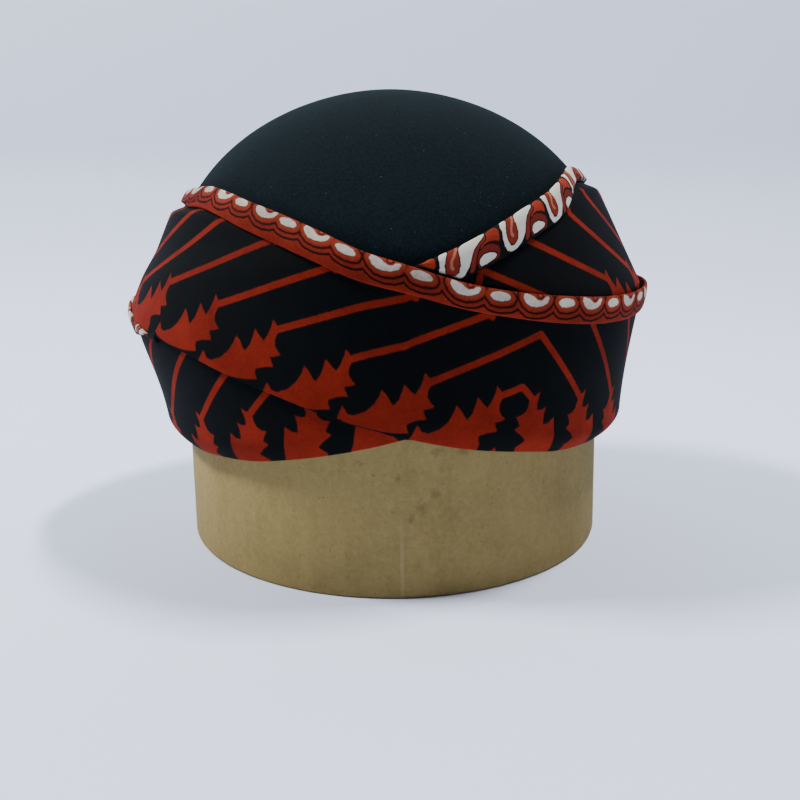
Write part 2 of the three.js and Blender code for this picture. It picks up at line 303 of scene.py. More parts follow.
def base_half(angle, height, block_half):
    side = np.abs(np.sin(np.radians(angle)))
    left = angle < 0
    bulge = np.where(left, LEFT_BULGE, RIGHT_BULGE) * side**SIDE_POWER
    rim, ridge = rim_line(angle), ridge_line(angle)
    on_crown = crown_half(block_half, height) + LAYER_GAP

    share = np.clip((height - rim) / (ridge - rim), 0, 1)
    hip = np.where(left, LEFT_HIP, RIGHT_HIP) * side * smoothstep(side, 0, HIP_FULL_SIDE)
    flared = lerp(hip, bulge, share ** np.where(left, LEFT_FLARE, RIGHT_FLARE))
    swelling = np.where(left, LEFT_HUMP * side * side * hump_shape(share), 0)
    below = on_crown + flared + swelling

    shoulder = SHOULDER_STEP * side**SHOULDER_POWER
    shoulder_top = hem_top_line(angle) - hem_height(-np.abs(angle)) + shoulder_lift(angle)
    shoulder_low = np.maximum(shoulder_top - SHOULDER_HEIGHT, ridge)
    at_ridge = crown_half(block_half, ridge) + LAYER_GAP + bulge
    at_shoulder = crown_half(block_half, shoulder_low) + LAYER_GAP + shoulder
    climb = (height - ridge) / np.maximum(shoulder_low - ridge, LEAST_CLIMB)
    step = on_crown + shoulder * (1 - smoothstep(height, shoulder_low, shoulder_top))
    panel = soft_max(lerp(at_ridge, at_shoulder, climb), on_crown, LAYER_GAP * 2)
    full = np.where(height < ridge, below, np.where(climb < 1, panel, step))

    roll = np.clip(1 - (height - rim) / CURL_HEIGHT, 0, 1)
    return lerp(full, block_half + BLOCK_GAP, roll * roll)


def oval_point(angle, half_width, half_depth, height):
    turn = np.radians(angle)
    return np.stack([half_width * np.sin(turn), -half_depth * np.cos(turn), height + 0 * turn], -1)


def cloth_point(angle, height, standoff):
    """A point that stands off the surface under the cloth, square to it."""
    numbers = (np.asarray(x, float) for x in (angle, height, standoff))
    angle, height, standoff = np.broadcast_arrays(*numbers)
    turn = np.radians(angle)
    reach = []
    for probe in (SLOPE_PROBE, -SLOPE_PROBE):
        half_width = base_half(angle, height + probe, BLOCK_WIDTH / 2)
        half_depth = base_half(angle, height + probe, BLOCK_DEPTH / 2)
        reach.append(np.hypot(half_width * np.sin(turn), half_depth * np.cos(turn)))
    slope = (reach[0] - reach[1]) / (2 * SLOPE_PROBE)
    outward = standoff / np.hypot(1, slope)
    return oval_point(
        angle,
        base_half(angle, height, BLOCK_WIDTH / 2) + outward,
        base_half(angle, height, BLOCK_DEPTH / 2) + outward,
        height - outward * slope,
    )


cap_width = 2 * float(crown_half(BLOCK_WIDTH / 2, SPRING_HEIGHT))
print("the cap is", round(cap_width, 1), "mm wide at its widest")

# %% [markdown]
# ### Layers of cloth
# Where one band crosses over the other it has to stand off by the thickness of that band. Each function
# below gives the standoff of one piece in mm. The change from one layer to the next is a smooth step,
# since folded cloth slopes gently over an edge that lies under it.

# %% How far each band stands off
LEAST_TUCK = 0.01


def front_standoff(angle, height):
    over_under_wrap = LAYER_STEP * (1 - swap_share(angle))
    settle = smoothstep(height - under_top(angle), SETTLE_START, SETTLE_END)
    rim_share = 1 - smoothstep(angle, RIM_SETTLE_START, RIM_SETTLE_END)
    hidden_edge = np.maximum(under_low(angle) - FOLD_TUCK, front_low(angle) + LEAST_TUCK)
    climb = smoothstep(height, front_low(angle), hidden_edge)
    return over_under_wrap * np.where(angle < 0, 1 - settle, lerp(rim_share, 1, climb))


def under_standoff(angle, height=0):
    return LAYER_STEP * swap_share(angle) + 0 * height


def tail_standoff(angle, height):
    """The tail's upper edge stands out as a lip, and its lower edge lies on the band."""
    lip = TAIL_LIP * smoothstep(-angle, -TAIL_HEM_PROUD, -SWAP_START)
    up_hem = np.clip((height - under_hem_low(angle)) / WIDE_HEM, 0, 1)
    return LAYER_STEP * (1 + swap_share(angle)) + lip * up_hem


print("a band that lies over another stands off by", LAYER_STEP, "mm more")


# %% [markdown]
# ## A band of cloth
# A cord or a tube could be swept, but a band has two long edges of different shape. So it is built as
# rows of points: each column is a closed loop that runs up the outer face, round the upper edge, down the
# inner face and round the lower edge. Rounded edges are what makes folded cloth look soft.

# %% Build a band as closed loops of points
EDGE_TURNS = (45, 90, 135)
INNER_ROWS = 7
FINE_TO = 105


def band_columns(start, end, fine_step, coarse_step):
    """Angles of the columns, closer together in front than behind."""
    cuts = [start, *(cut for cut in (-FINE_TO, FINE_TO) if start < cut < end), end]
    columns = []
    for low, high in zip(cuts[:-1], cuts[1:]):
        step = fine_step if -FINE_TO < (low + high) / 2 < FINE_TO else coarse_step
        count = max(2, round((high - low) / step))
        columns.append(np.linspace(low, high, count + 1)[:-1])
    return np.concatenate([*columns, [end]])


def band_points(angles, low, top, rows, standoff, crowning=0.0):
    """Loops of points in mm, one loop for each column."""
    half_wall = CLOTH_WALL / 2
    shares = np.linspace(0, 1, rows + 1)
    angle = angles[:, None]
    height = lerp((low + half_wall)[:, None], (top - half_wall)[:, None], shares[None, :])
    crown_profile = np.reshape(crowning, (-1, 1)) * (1 - np.abs(2 * shares - 1) ** 3)[None, :]
    outer = cloth_point(angle, height, standoff(angle, height) + CLOTH_WALL + crown_profile)
    inner_shares = np.linspace(1, 0, INNER_ROWS + 1)
    inner_height = lerp((low + half_wall)[:, None], (top - half_wall)[:, None], inner_shares[None, :])
    inner = cloth_point(angle, inner_height, standoff(angle, inner_height))

    def turn_over(outer_edge, outer_next, inner_edge):
        """A half circle of points from the outer face round to the inner one."""
        middle = (outer_edge + inner_edge) / 2
        out = (outer_edge - inner_edge) / 2
        away = outer_edge - outer_next
        away *= np.linalg.norm(out, axis=-1, keepdims=True) / np.linalg.norm(away, axis=-1, keepdims=True)
        return np.stack([
            middle + out * math.cos(math.radians(turn)) + away * math.sin(math.radians(turn))
            for turn in EDGE_TURNS
        ], 1)

    upper = turn_over(outer[:, -1], outer[:, -2], inner[:, 0])
    lower = turn_over(outer[:, 0], outer[:, 1], inner[:, -1])[:, ::-1]
    return np.concatenate([outer, upper, inner, lower], 1)


def object_from(name, points, faces):
    mesh = bpy.data.meshes.new(name)
    mesh.from_pydata((points * MM).tolist(), [], faces)
    mesh.validate()
    mesh.shade_smooth()
    piece = bpy.data.objects.new(name, mesh)
    bpy.context.scene.collection.objects.link(piece)
    return piece


def band_object(name, points):
    """Joins the loops of neighbouring columns and closes both ends."""
    columns, loop = points.shape[:2]
    column, place = np.meshgrid(np.arange(columns - 1), np.arange(loop), indexing="ij")
    following = (place + 1) % loop
    near, far = column * loop, (column + 1) * loop
    quads = np.stack([near + place, far + place, far + following, near + following], -1).reshape(-1, 4)
    last = (columns - 1) * loop
    ends = [list(range(loop)), [last + place for place in reversed(range(loop))]]
    piece = object_from(name, points.reshape(-1, 3), quads.tolist() + ends)
    print(name, len(quads) * 2, "triangles")
    return piece


print("each edge of the cloth turns over in", len(EDGE_TURNS) + 1, "steps")

# %% [markdown]
# ## The hat block
# A hatter's block is turned or sawn from one piece of pale hardwood. It could be lofted from ovals, but a
# cylinder that is squeezed to an oval and then drawn up ring by ring is how it is shaped by hand: straight
# sides, then a dome that closes over the top.

# %% Model the block from a cylinder
def clear_selection():
    if bpy.context.object and bpy.context.object.mode != "OBJECT":
        bpy.ops.object.mode_set(mode="OBJECT")
    bpy.ops.object.select_all(action="DESELECT")


def name_active(name):
    piece = bpy.context.object
    piece.name = name
    piece.data.name = name
    return piece


def draw_up_dome(half_width, half_depth, start, spring, rise, wall_rings, dome_rings):
    """Extrudes the selected ring up the wall and over the dome, in mm, and closes it at the top."""
    heights = [lerp(start, spring, (row + 1) / wall_rings) for row in range(wall_rings)]
    sizes = [1.0] * wall_rings
    for row in range(1, dome_rings):
        climb = math.sin(math.pi / 2 * row / dome_rings)
        heights.append(spring + rise * climb)
        sizes.append((1 - climb * climb) ** (1 / DOME_POWER))
    height, size = start, 1.0
    for next_height, next_size in zip(heights, sizes):
        step_up = (0, 0, (next_height - height) * MM)
        bpy.ops.mesh.extrude_region_move(TRANSFORM_OT_translate={"value": step_up})
        grow = next_size / size
        bpy.ops.transform.resize(value=(grow, grow, 1), center_override=(0, 0, next_height * MM))
        height, size = next_height, next_size
    last_step = (0, 0, (spring + rise - height) * MM)
    bpy.ops.mesh.extrude_region_move(TRANSFORM_OT_translate={"value": last_step})
    bpy.ops.mesh.merge(type="CENTER")


RING_SIDES = 192
FOOT_ROUNDING = 1.1
clear_selection()
bpy.ops.mesh.primitive_cylinder_add(
    vertices=RING_SIDES, radius=1, depth=RIM_HEIGHT * MM, end_fill_type="NGON",
    location=(0, 0, RIM_HEIGHT * MM / 2))
block = name_active("block")
bpy.ops.object.transform_apply(location=True, rotation=True, scale=True)
bpy.ops.object.mode_set(mode="EDIT")
bpy.ops.transform.resize(
    value=(BLOCK_WIDTH / 2 * MM, BLOCK_DEPTH / 2 * MM, 1), center_override=(0, 0, 0))
bpy.ops.mesh.select_all(action="DESELECT")
bpy.ops.object.mode_set(mode="OBJECT")
for edge in block.data.edges:
    edge.select = all(block.data.vertices[i].co.z < MM for i in edge.vertices)
bpy.ops.object.mode_set(mode="EDIT")
bpy.ops.mesh.select_mode(type="EDGE")
bpy.ops.mesh.bevel(offset=FOOT_ROUNDING * MM, segments=3, profile=0.5)
bpy.ops.mesh.select_all(action="DESELECT")
bpy.ops.object.mode_set(mode="OBJECT")
for face in block.data.polygons:
    face.select = face.normal.z > 0.9
bpy.ops.object.mode_set(mode="EDIT")
bpy.ops.mesh.select_mode(type="FACE")
draw_up_dome(
    BLOCK_WIDTH / 2, BLOCK_DEPTH / 2, RIM_HEIGHT, SPRING_HEIGHT, DOME_RISE - CROWN_OUTSET,
    wall_rings=2, dome_rings=14)
bpy.ops.object.mode_set(mode="OBJECT")
bpy.ops.object.shade_smooth_by_angle(angle=math.radians(40))
print("block", len(block.data.polygons), "faces")

# %% [markdown]
# ## The felt cap
# The cap is felt that was steamed and pulled over a block, so it is one skin of even thickness. A circle
# is drawn up into the dome in the same way as the block, and Solidify gives the skin its wall.

# %% Model the cap from a circle
CAP_SIDES = 256
HIDDEN_MARGIN = 4
CAP_LOW = NOTCH + CURL_HEIGHT + HIDDEN_MARGIN
clear_selection()
bpy.ops.mesh.primitive_circle_add(
    vertices=CAP_SIDES, radius=1, fill_type="NOTHING", location=(0, 0, CAP_LOW * MM))
cap = name_active("felt_cap")
bpy.ops.object.transform_apply(location=True, rotation=True, scale=True)
bpy.ops.object.mode_set(mode="EDIT")
bpy.ops.mesh.select_mode(type="EDGE")
bpy.ops.mesh.select_all(action="SELECT")
cap_half_width = BLOCK_WIDTH / 2 + CROWN_OUTSET
cap_half_depth = BLOCK_DEPTH / 2 + CROWN_OUTSET
bpy.ops.transform.resize(
    value=(cap_half_width * MM, cap_half_depth * MM, 1), center_override=(0, 0, CAP_LOW * MM))
draw_up_dome(
    cap_half_width, cap_half_depth, CAP_LOW, SPRING_HEIGHT, DOME_RISE, wall_rings=6, dome_rings=64)
bpy.ops.mesh.select_all(action="SELECT")
bpy.ops.mesh.normals_make_consistent(inside=False)
bpy.ops.object.mode_set(mode="OBJECT")
wall = cap.modifiers.new("felt wall", "SOLIDIFY")
wall.thickness = CROWN_WALL * MM
wall.offset = -1
bpy.ops.object.modifier_apply(modifier=wall.name)
cap.data.shade_smooth()
print("felt cap", len(cap.data.polygons), "faces")

# %% [markdown]
# ## The two bands
# Both bands run the whole way round and meet at the back. The front band lies high on the viewer's left
# and low on the right. The under band is the other way about. They could be cut from a plane and pressed
# on with a Shrinkwrap modifier, but rows of points keep their edges exactly on the fold lines.

# %% Make the two bands
FOLD_SAG = 1.1
SAG_START, SAG_FULL = 6, 16


def seen_front_low(angle):
    """The fold of the front band hangs a little lower on the left than the solid's plain curve."""
    sagging = smoothstep(-angle, SAG_START, SAG_FULL) * (1 - swap_share(angle))
    return front_low(angle) - FOLD_SAG * sagging


SEAM = math.degrees(EDGE_GAP / BLOCK_DEPTH)
BACK_LEFT, BACK_RIGHT = -180 + SEAM, 180 - SEAM
BAND_ROWS = 88
BAND_STEP, BAND_BACK_STEP = 0.31, 0.55
TOP_ROLL = 2.0

band_angles = band_columns(BACK_LEFT, BACK_RIGHT, BAND_STEP, BAND_BACK_STEP)
front_points = band_points(
    band_angles, seen_front_low(band_angles), front_top(band_angles) - TOP_ROLL, BAND_ROWS, front_standoff)
front_wrap = band_object("front_band", front_points)
under_points = band_points(
    band_angles, under_low(band_angles), under_top(band_angles) - TOP_ROLL, BAND_ROWS, under_standoff)
under_wrap = band_object("under_band", under_points)

# %% [markdown]
# ## The printed hems
# Each band is finished with a folded strip that is a little fuller in its middle than at its edges. That
# small crowning catches the light along its upper side. The hem of the front band is made first. It could
# be only a change of colour on the band, but as a strip of its own it can roll over at its top, lie lower
# on the left and cast a small shadow.

# %% Make the hem of the front band
HEM_ROWS = 22
HEM_STEP, HEM_BACK_STEP = 0.24, 0.4
HEM_CROWNING = 0.5
HEM_ROLL, RIGHT_HEM_ROLL = 1.4, -0.2
LEFT_HEM_DROP, RIGHT_HEM_LIFT = 1.5, 1.1
RIGHT_START, RIGHT_FULL, RIGHT_FADE, RIGHT_END = 10, 40, 90, 120
LEFT_START, LEFT_FULL, LEFT_FADE, LEFT_END = -5, 25, 64, 82

hem_angles = band_columns(BACK_LEFT, BACK_RIGHT, HEM_STEP, HEM_BACK_STEP)
right_share = smoothstep(hem_angles, RIGHT_START, RIGHT_FULL)
right_share *= 1 - smoothstep(hem_angles, RIGHT_FADE, RIGHT_END)
left_share = smoothstep(-hem_angles, LEFT_START, LEFT_FULL)
left_share *= 1 - smoothstep(-hem_angles, LEFT_FADE, LEFT_END)
front_roll = lerp(HEM_ROLL, RIGHT_HEM_ROLL, right_share)
front_hem_bottom = front_hem_low(hem_angles) - LEFT_HEM_DROP * left_share + RIGHT_HEM_LIFT * right_share
front_hem_bottom += np.where(hem_angles < 0, shoulder_lift(hem_angles), 0)
front_hem_points = band_points(
    hem_angles, front_hem_bottom, front_top(hem_angles) - front_roll, HEM_ROWS,
    lambda angle, height: front_standoff(angle, height) + LAYER_STEP, HEM_CROWNING)
front_hem = band_object("front_hem", front_hem_points)

# %% [markdown]
# The hem of the under band runs from the back seam over the right to the crossing, where it dives under
# the front band. It is fullest and widest near the crossing, where it can be seen whole.

# %% Make the hem of the under band
HOOK_HEM_CROWNING, SIDE_CROWNING = 1.0, 0.2
CROWNING_FADE, CROWNING_END = 42, 66
HOOK_HEM_DROP = 2.2
HOOK_DROP_FADE, HOOK_DROP_END = 40, 60

under_hem_angles = band_columns(UNDER_HEM_START, BACK_RIGHT, HEM_STEP, HEM_BACK_STEP)
hook_drop = HOOK_HEM_DROP * (1 - smoothstep(under_hem_angles, HOOK_DROP_FADE, HOOK_DROP_END))
under_hem_bottom = under_hem_low(under_hem_angles) + shoulder_lift(under_hem_angles) - hook_drop
above_front_hem = front_top(under_hem_angles) + EDGE_GAP - HEM_ROLL
under_hem_points = band_points(
    under_hem_angles, np.maximum(under_hem_bottom, above_front_hem),
    under_top(under_hem_angles) - HEM_ROLL, HEM_ROWS,
    lambda angle, height: under_standoff(angle, height) + LAYER_STEP,
    lerp(HOOK_HEM_CROWNING, SIDE_CROWNING, smoothstep(under_hem_angles, CROWNING_FADE, CROWNING_END)))
under_hem = band_object("under_hem", under_hem_points)

# %% [markdown]
# The same hem comes out again at the left tip and runs on round the back. Only a narrow strip of its
# print shows at the tip, and the rest of its width there is plain black cloth. It is a strip of its own,
# because a single hem would have to run unseen under the front band.

# %% Make the tail of that hem
TAIL_CROWNING = 0.3
TAIL_TIP, TAIL_SEEN, TAIL_FULL = -0.6, 2.1, 12
TAIL_TIP_ANGLE, TAIL_SEEN_ANGLE, TAIL_WIDENS, TAIL_FULL_ANGLE = 62, 70, 88, 106

tail_hem_angles = band_columns(BACK_LEFT, TAIL_HEM_START, HEM_STEP, HEM_BACK_STEP)
beside_fold = np.minimum(under_top(tail_hem_angles), seen_front_low(tail_hem_angles) - EDGE_GAP)
behind_fold = np.minimum(under_top(tail_hem_angles), left_ridge_line(tail_hem_angles))
behind_fold -= FOLD_SAG * (1 - swap_share(tail_hem_angles))
tail_top = np.where(tail_hem_angles < SWAP_START, behind_fold, beside_fold)
tail_print = lerp(TAIL_TIP, TAIL_SEEN, smoothstep(-tail_hem_angles, TAIL_TIP_ANGLE, TAIL_SEEN_ANGLE))
tail_print = lerp(tail_print, TAIL_FULL, smoothstep(-tail_hem_angles, TAIL_WIDENS, TAIL_FULL_ANGLE))
tail_hem_points = band_points(
    tail_hem_angles, under_hem_low(tail_hem_angles), tail_top, HEM_ROWS, tail_standoff, TAIL_CROWNING)
tail_hem = band_object("tail_hem", tail_hem_points)

# %% [markdown]
# ## Drawing the batik
# Batik is drawn with wax and dyed, so every motif has one clean outline. Each motif is charted below as a
# short outline in millimetres. At every point of the cloth the distance to the nearest outline is stored,
# below zero inside it, and the dyes later follow that number. An image could be painted too, but an outline
# in millimetres stays crisp at any zoom and can be mended point by point.

# %% Distance to outlines and strokes
FAR = 9.0


def outline_distance(x, y, outline):
    """Distance in mm to a closed outline, below zero inside it."""
    nearest = np.full(x.shape, FAR)
    inside = np.zeros(x.shape, bool)
    for (ax, ay), (bx, by) in zip(outline, [*outline[1:], outline[0]]):
        run, rise = bx - ax, by - ay
        share = np.clip(((x - ax) * run + (y - ay) * rise) / (run * run + rise * rise), 0, 1)
        nearest = np.minimum(nearest, np.hypot(x - ax - share * run, y - ay - share * rise))
        if rise:
            inside ^= ((ay > y) != (by > y)) & (x < ax + (y - ay) * run / rise)
    return np.where(inside, -nearest, nearest)


def stroke_distance(x, y, path, half_width):
    """Distance in mm to a stroke of even width along a path."""
    nearest = np.full(x.shape, FAR)
    for (ax, ay), (bx, by) in zip(path[:-1], path[1:]):
        run, rise = bx - ax, by - ay
        share = np.clip(((x - ax) * run + (y - ay) * rise) / (run * run + rise * rise), 0, 1)
        nearest = np.minimum(nearest, np.hypot(x - ax - share * run, y - ay - share * rise))
    return nearest - half_width


def stamp(distance, x, y, centres, reach, draw):
    """Lowers the distance field near each centre by what draw gives there."""
    for centre_x, centre_y in centres:
        near = np.abs(x - centre_x) < reach
        motif = draw(x[near] - centre_x, y[near] - centre_y)
        distance[near] = np.minimum(distance[near], motif)
    return distance


def store(piece, name, *fields):
    """Keeps up to three numbers at each point of a piece."""
    padded = [*fields, *[np.zeros_like(fields[0])] * (3 - len(fields))]
    attribute = piece.data.attributes.new(name, "FLOAT_VECTOR", "POINT")
    attribute.data.foreach_set("vector", np.stack(padded, -1).ravel())


print("distances are kept up to", FAR, "mm from an outline")

# %% [markdown]
# ### Places on the cloth
# A place on a band is given by how far round it lies and how far up, both in mm. The printed cloth was
# folded flat, so the motifs repeat at an even pitch in these two numbers.

# %% Measure places on the cloth
SIDE_STANDOFF, FRONT_STANDOFF = 8, 4
ROUND_WIDTH, ROUND_DEPTH = BLOCK_WIDTH / 2 + SIDE_STANDOFF, BLOCK_DEPTH / 2 + FRONT_STANDOFF
ROUND_SAMPLES = 7201
ROUND_ANGLES = np.linspace(-180, 180, ROUND_SAMPLES)
ROUND_STEPS = np.hypot(
    ROUND_WIDTH * np.cos(np.radians(ROUND_ANGLES)), ROUND_DEPTH * np.sin(np.radians(ROUND_ANGLES)))
ROUND_LENGTHS = np.concatenate([[0], np.cumsum((ROUND_STEPS[1:] + ROUND_STEPS[:-1]) / 2)])
ROUND_LENGTHS *= math.radians(ROUND_ANGLES[1] - ROUND_ANGLES[0])
ROUND_LENGTHS -= ROUND_LENGTHS[-1] / 2


def length_round(angle):
    return np.interp(angle, ROUND_ANGLES, ROUND_LENGTHS)


def loop_lengths(points):
    """Length along each loop from its low edge, below zero on the lower turn."""
    steps = np.linalg.norm(np.diff(points, axis=1), axis=-1)
    lengths = np.concatenate([np.zeros((len(points), 1)), np.cumsum(steps, 1)], 1)
    whole = lengths[:, -1:] + np.linalg.norm(points[:, :1] - points[:, -1:], axis=-1)
    lengths[:, -len(EDGE_TURNS):] -= whole
    return lengths


print("the cloth is", round(float(np.ptp(ROUND_LENGTHS))), "mm long, once round")

# %% [markdown]
# ### Leaves on stems
# Each leaf hangs from the foot of a slanting stem, and its printed foot ends at the lower fold or runs on
# under it. There are two leaves, one for each arm of a band, because the cloth is folded the other way
# there. Rows give millimetres across and up from the joint of leaf and stem. They were charted one motif of
# each kind, because a batik maker too waxes one drawing again and again.

# %% Chart the leaves
UPPER_LEAF = [
    (0.3, 0.9), (-1.5, 3.2), (-2.1, 0.9), (-3.3, -1.6), (-4.95, -3.9), (-6.4, -2.4), (-8.35, -0.1),
    (-8.9, -2.2), (-10.2, -5.4), (-12.1, -7.6), (-13.2, -5.9), (-14.3, -4.1), (-15.65, -2.6), (-16.6, -5),
    (-18.6, -8), (-21.5, -10.3), (-25.2, -11.6), (-27.2, -11), (-28.8, -8.6), (-29.6, -10.3),
    (-30.6, -12.4), (-28, -13.6), (-25.3, -14.5), (-21, -15.4), (-15, -16.3), (-11.5, -16.5),
    (-7.2, -16.2), (-7.9, -14.6), (-7.85, -13), (-4.5, -12.1), (-1.25, -11.9), (-2, -10.4),
    (-2.5, -8.7), (-0.6, -8.6), (1.45, -8), (0.3, -6.9), (-0.8, -5.1), (-0.75, -3), (0.2, -1.1),
]
LOWER_LEAF = [
    (0.9, 0.5), (3.4, 2), (2.6, -0.4), (2.1, -2.4), (2.2, -4.2), (4.4, -4.3), (6.2, -3.4), (5.3, -6),
    (5.3, -9.6), (7.5, -9.3), (10.1, -7.7), (10.6, -12), (11.4, -17), (13.5, -24), (-5, -26),
    (-3.6, -19.5), (-4.2, -17.4), (-1.2, -14.6), (-3.4, -12.4), (-6.4, -10.1), (-4.4, -9), (-5, -7.2),
    (-6.1, -5.6), (-3.8, -5.3), (-2, -4), (-1.2, -2), (-0.9, -0.4),
]
LEAF_SKIRT = [(-30.4, -12.2), (-34, -16), (-26, -24), (-12, -24), (-7.4, -18.5), (-7.2, -16), (-18, -12)]
LEAF_SPIKE = [(-16.5, -25), (-12.6, -16.4), (-8.5, -25)]
STEM_HALF_WIDTH = 1.08
LEAF_REACH = 36
LONG_LEAVES = (0, 5)
FRONT_NUB, UNDER_NUB = (0.9, -1.0), (-0.7, 1.9)
print("upper leaf:", len(UPPER_LEAF), "points, lower leaf:", len(LOWER_LEAF), "points")

# %% [markdown]
# The stems are charted by the places of their two ends. Towards the back, where nothing has been seen, the
# last stem of each row is repeated at the pitch of the motifs.

# %% Chart the stems and print the leaves
# joint round, joint up, stem top round, stem top up
FRONT_UPPER_STEMS = [
    (30.3, 28.9, 38.2, 31.2), (5.8, 34.2, 45.3, 48.1), (-19.8, 40.7, 26.2, 55.5),
    (-45.2, 49.2, 0.7, 62), (-70, 56.2, -25.1, 69.7), (-98.8, 61.8, -48.1, 78.2),
    (-128.5, 59.5, -70.5, 87.5), (-151.7, 61, -93, 90.5),
]
FRONT_LOWER_STEMS = [
    (42, 27, 38.2, 31.2), (65.2, 24.8, 45.3, 48.1), (90.1, 22.4, 69.7, 49.6), (116.5, 21, 99, 48),
]
UNDER_UPPER_STEMS = [
    (-6.3, 42, 30.2, 58), (-32, 47, 4.5, 63), (-57.6, 53.5, -21.1, 69), (-83.2, 60.9, -43.6, 76.7),
    (-109.1, 63, -70.9, 84.9), (-134.8, 60, -91.1, 92),
]
UNDER_LOWER_STEMS = [
    (8.5, 31, -23, 63.4), (33.7, 26.9, 2.2, 59.3), (57.2, 22.7, 25.7, 55.1), (82.5, 18.4, 51, 50.8),
    (110.3, 15.3, 78.8, 47.7),
]
MOTIF_PITCH = 25.2
UPPER_RISE = 0.5
MOTIFS_TO_BACK = 8


def carried_on(stems, step, rises):
    """Repeats the last stem of a table round to the back."""
    last = np.array(stems[-1])
    more = [last + (step * k, rises * k, step * k, rises * k) for k in range(1, MOTIFS_TO_BACK)]
    return [*stems, *map(tuple, more)]


def leaf_print(along, up, upper_stems, lower_stems, nub):
    """Distance in mm to the nearest leaf or stem, at each place on the cloth."""
    distance = np.full(along.shape, FAR)
    for stems, leaf in ((upper_stems, UPPER_LEAF), (lower_stems, LOWER_LEAF)):
        joints = [stem[:2] for stem in stems]
        stamp(distance, along, up, joints, LEAF_REACH, lambda x, y: outline_distance(x, y, leaf))
    stamp(distance, along, up, [stem[:2] for stem in lower_stems], LEAF_REACH,
          lambda x, y: outline_distance(x, y, LEAF_SPIKE))
    long_leaves = [upper_stems[i][:2] for i in LONG_LEAVES]
    stamp(distance, along, up, long_leaves, LEAF_REACH, lambda x, y: outline_distance(x, y, LEAF_SKIRT))
    for foot_x, foot_y, top_x, top_y in [*upper_stems, *lower_stems]:
        path = [(foot_x, foot_y), (top_x, top_y), (top_x + nub[0], top_y + nub[1])]
        distance = np.minimum(distance, stroke_distance(along, up, path, STEM_HALF_WIDTH))
    return distance


print("stems on the front band:", len(FRONT_UPPER_STEMS + FRONT_LOWER_STEMS))
print("stems on the under band:", len(UNDER_UPPER_STEMS + UNDER_LOWER_STEMS))

# %% [markdown]
# The front band is read from left to right and the under band from right to left, since it is the same
# cloth folded the other way. So one function prints both, with the lengths mirrored for the under band.

# %% Lay the leaves on both bands
band_along = np.repeat(length_round(band_angles)[:, None], front_points.shape[1], 1)
front_up = (seen_front_low(band_angles) - RIM_HEIGHT)[:, None] + loop_lengths(front_points)
under_up = (under_low(band_angles) - RIM_HEIGHT)[:, None] + loop_lengths(under_points)
BAND_PRINTS = [
    (front_wrap, front_up, 1, FRONT_UPPER_STEMS, FRONT_LOWER_STEMS, FRONT_NUB),
    (under_wrap, under_up, -1, UNDER_UPPER_STEMS, UNDER_LOWER_STEMS, UNDER_NUB),
]
for piece, up_cloth, side, upper, lower, nub in BAND_PRINTS:
    upper_all = carried_on(upper, -MOTIF_PITCH, UPPER_RISE)
    lower_all = carried_on(lower, MOTIF_PITCH, 0)
    leaves = leaf_print(band_along * side, up_cloth, upper_all, lower_all, nub)
    store(piece, "leaves", leaves)
    store(piece, "cloth_place", band_along * MM, up_cloth * MM)
    print(piece.name, "print covers", round(100 * float((leaves < 0).mean())), "% of its points")

# %% [markdown]
# ### Drops over scallops
# The hem of the front band has white drops, round and bean-shaped by turns. The waxed lines round them
# join into scallops, which is just what happens where rings of equal distance meet. So the drops alone are
# charted, and the scallops come by themselves.

# %% Chart the drops
BEAN = [
    (-4.55, 1.62), (-5.18, 0.15), (-4.36, -1.41), (-2.79, -2.4), (-0.42, -2.57), (2.17, -2.05),
    (4.29, -0.93), (5.56, 0.7), (5.11, 1.4), (3.64, 1.04), (2.59, 0.09), (1.08, -0.29), (-0.17, 0.31),
    (-1.07, 1.08), (-2.33, 1.42), (-3.58, 1.85),
]
ROUND_DROP = [
    (-3.85, -0.19), (-3.2, 0.7), (-2.28, 1.2), (0.14, 1.74), (2.87, 1.28), (3.84, 0.08), (3.3, -0.7),
    (2.4, -1.08), (-0.37, -1.59), (-2.74, -1.45),
]
BEAN_CURL = [(0.9, 1.2), (1.2, 0.6), (2.1, 0.65), (3, 1.35), (2.5, 2.2), (1.3, 2.1)]
BEAN_PLACES = [-107.9, -80.8, -55.5, -33.2, -8.6, 17.8, 43.5, 69.3, 95]
DROP_PLACES = [-94.4, -68.8, -45, -21.8, 3.3, 30, 56.5, 82.1, 108]
PAIR_PITCH = 25.6
PAIRS_TO_BACK = 8
BEAN_DOWN, DROP_DOWN = 2.5, 3.0
DROP_REACH = 14


def hem_places(points, rows, start, roll):
    """Lengths along the middle of a hem from the start column, and up from its top edge."""
    middle = points[:, rows // 2]
    steps = np.linalg.norm(np.diff(middle, axis=0), axis=1)
    along = np.concatenate([[0], np.cumsum(steps)])
    along -= along[start]
    lengths = loop_lengths(points)
    return np.repeat(along[:, None], points.shape[1], 1), lengths - lengths[:, rows:rows + 1] - roll


def to_the_back(places, down):
    """The centres of one kind of drop, carried on both ways round to the back."""
    before = [places[0] - PAIR_PITCH * k for k in range(PAIRS_TO_BACK, 0, -1)]
    after = [places[-1] + PAIR_PITCH * k for k in range(1, PAIRS_TO_BACK + 1)]
    return [(place, -down) for place in [*before, *places, *after]]


beans, round_drops = to_the_back(BEAN_PLACES, BEAN_DOWN), to_the_back(DROP_PLACES, DROP_DOWN)
print("drops:", len(beans), "beans and", len(round_drops), "round ones")

# %% [markdown]
# The print is laid on the hem by places measured along its middle and down from its upper edge. Where the
# hem rolls over at its top, the print rolls over with it.

# %% Lay the drops on the front hem
RIGHT_PRINT_ROLL, LEFT_PRINT_LIFT = 1.25, 0.6
LEFT_PRINT_START, LEFT_PRINT_FULL = 20, 45

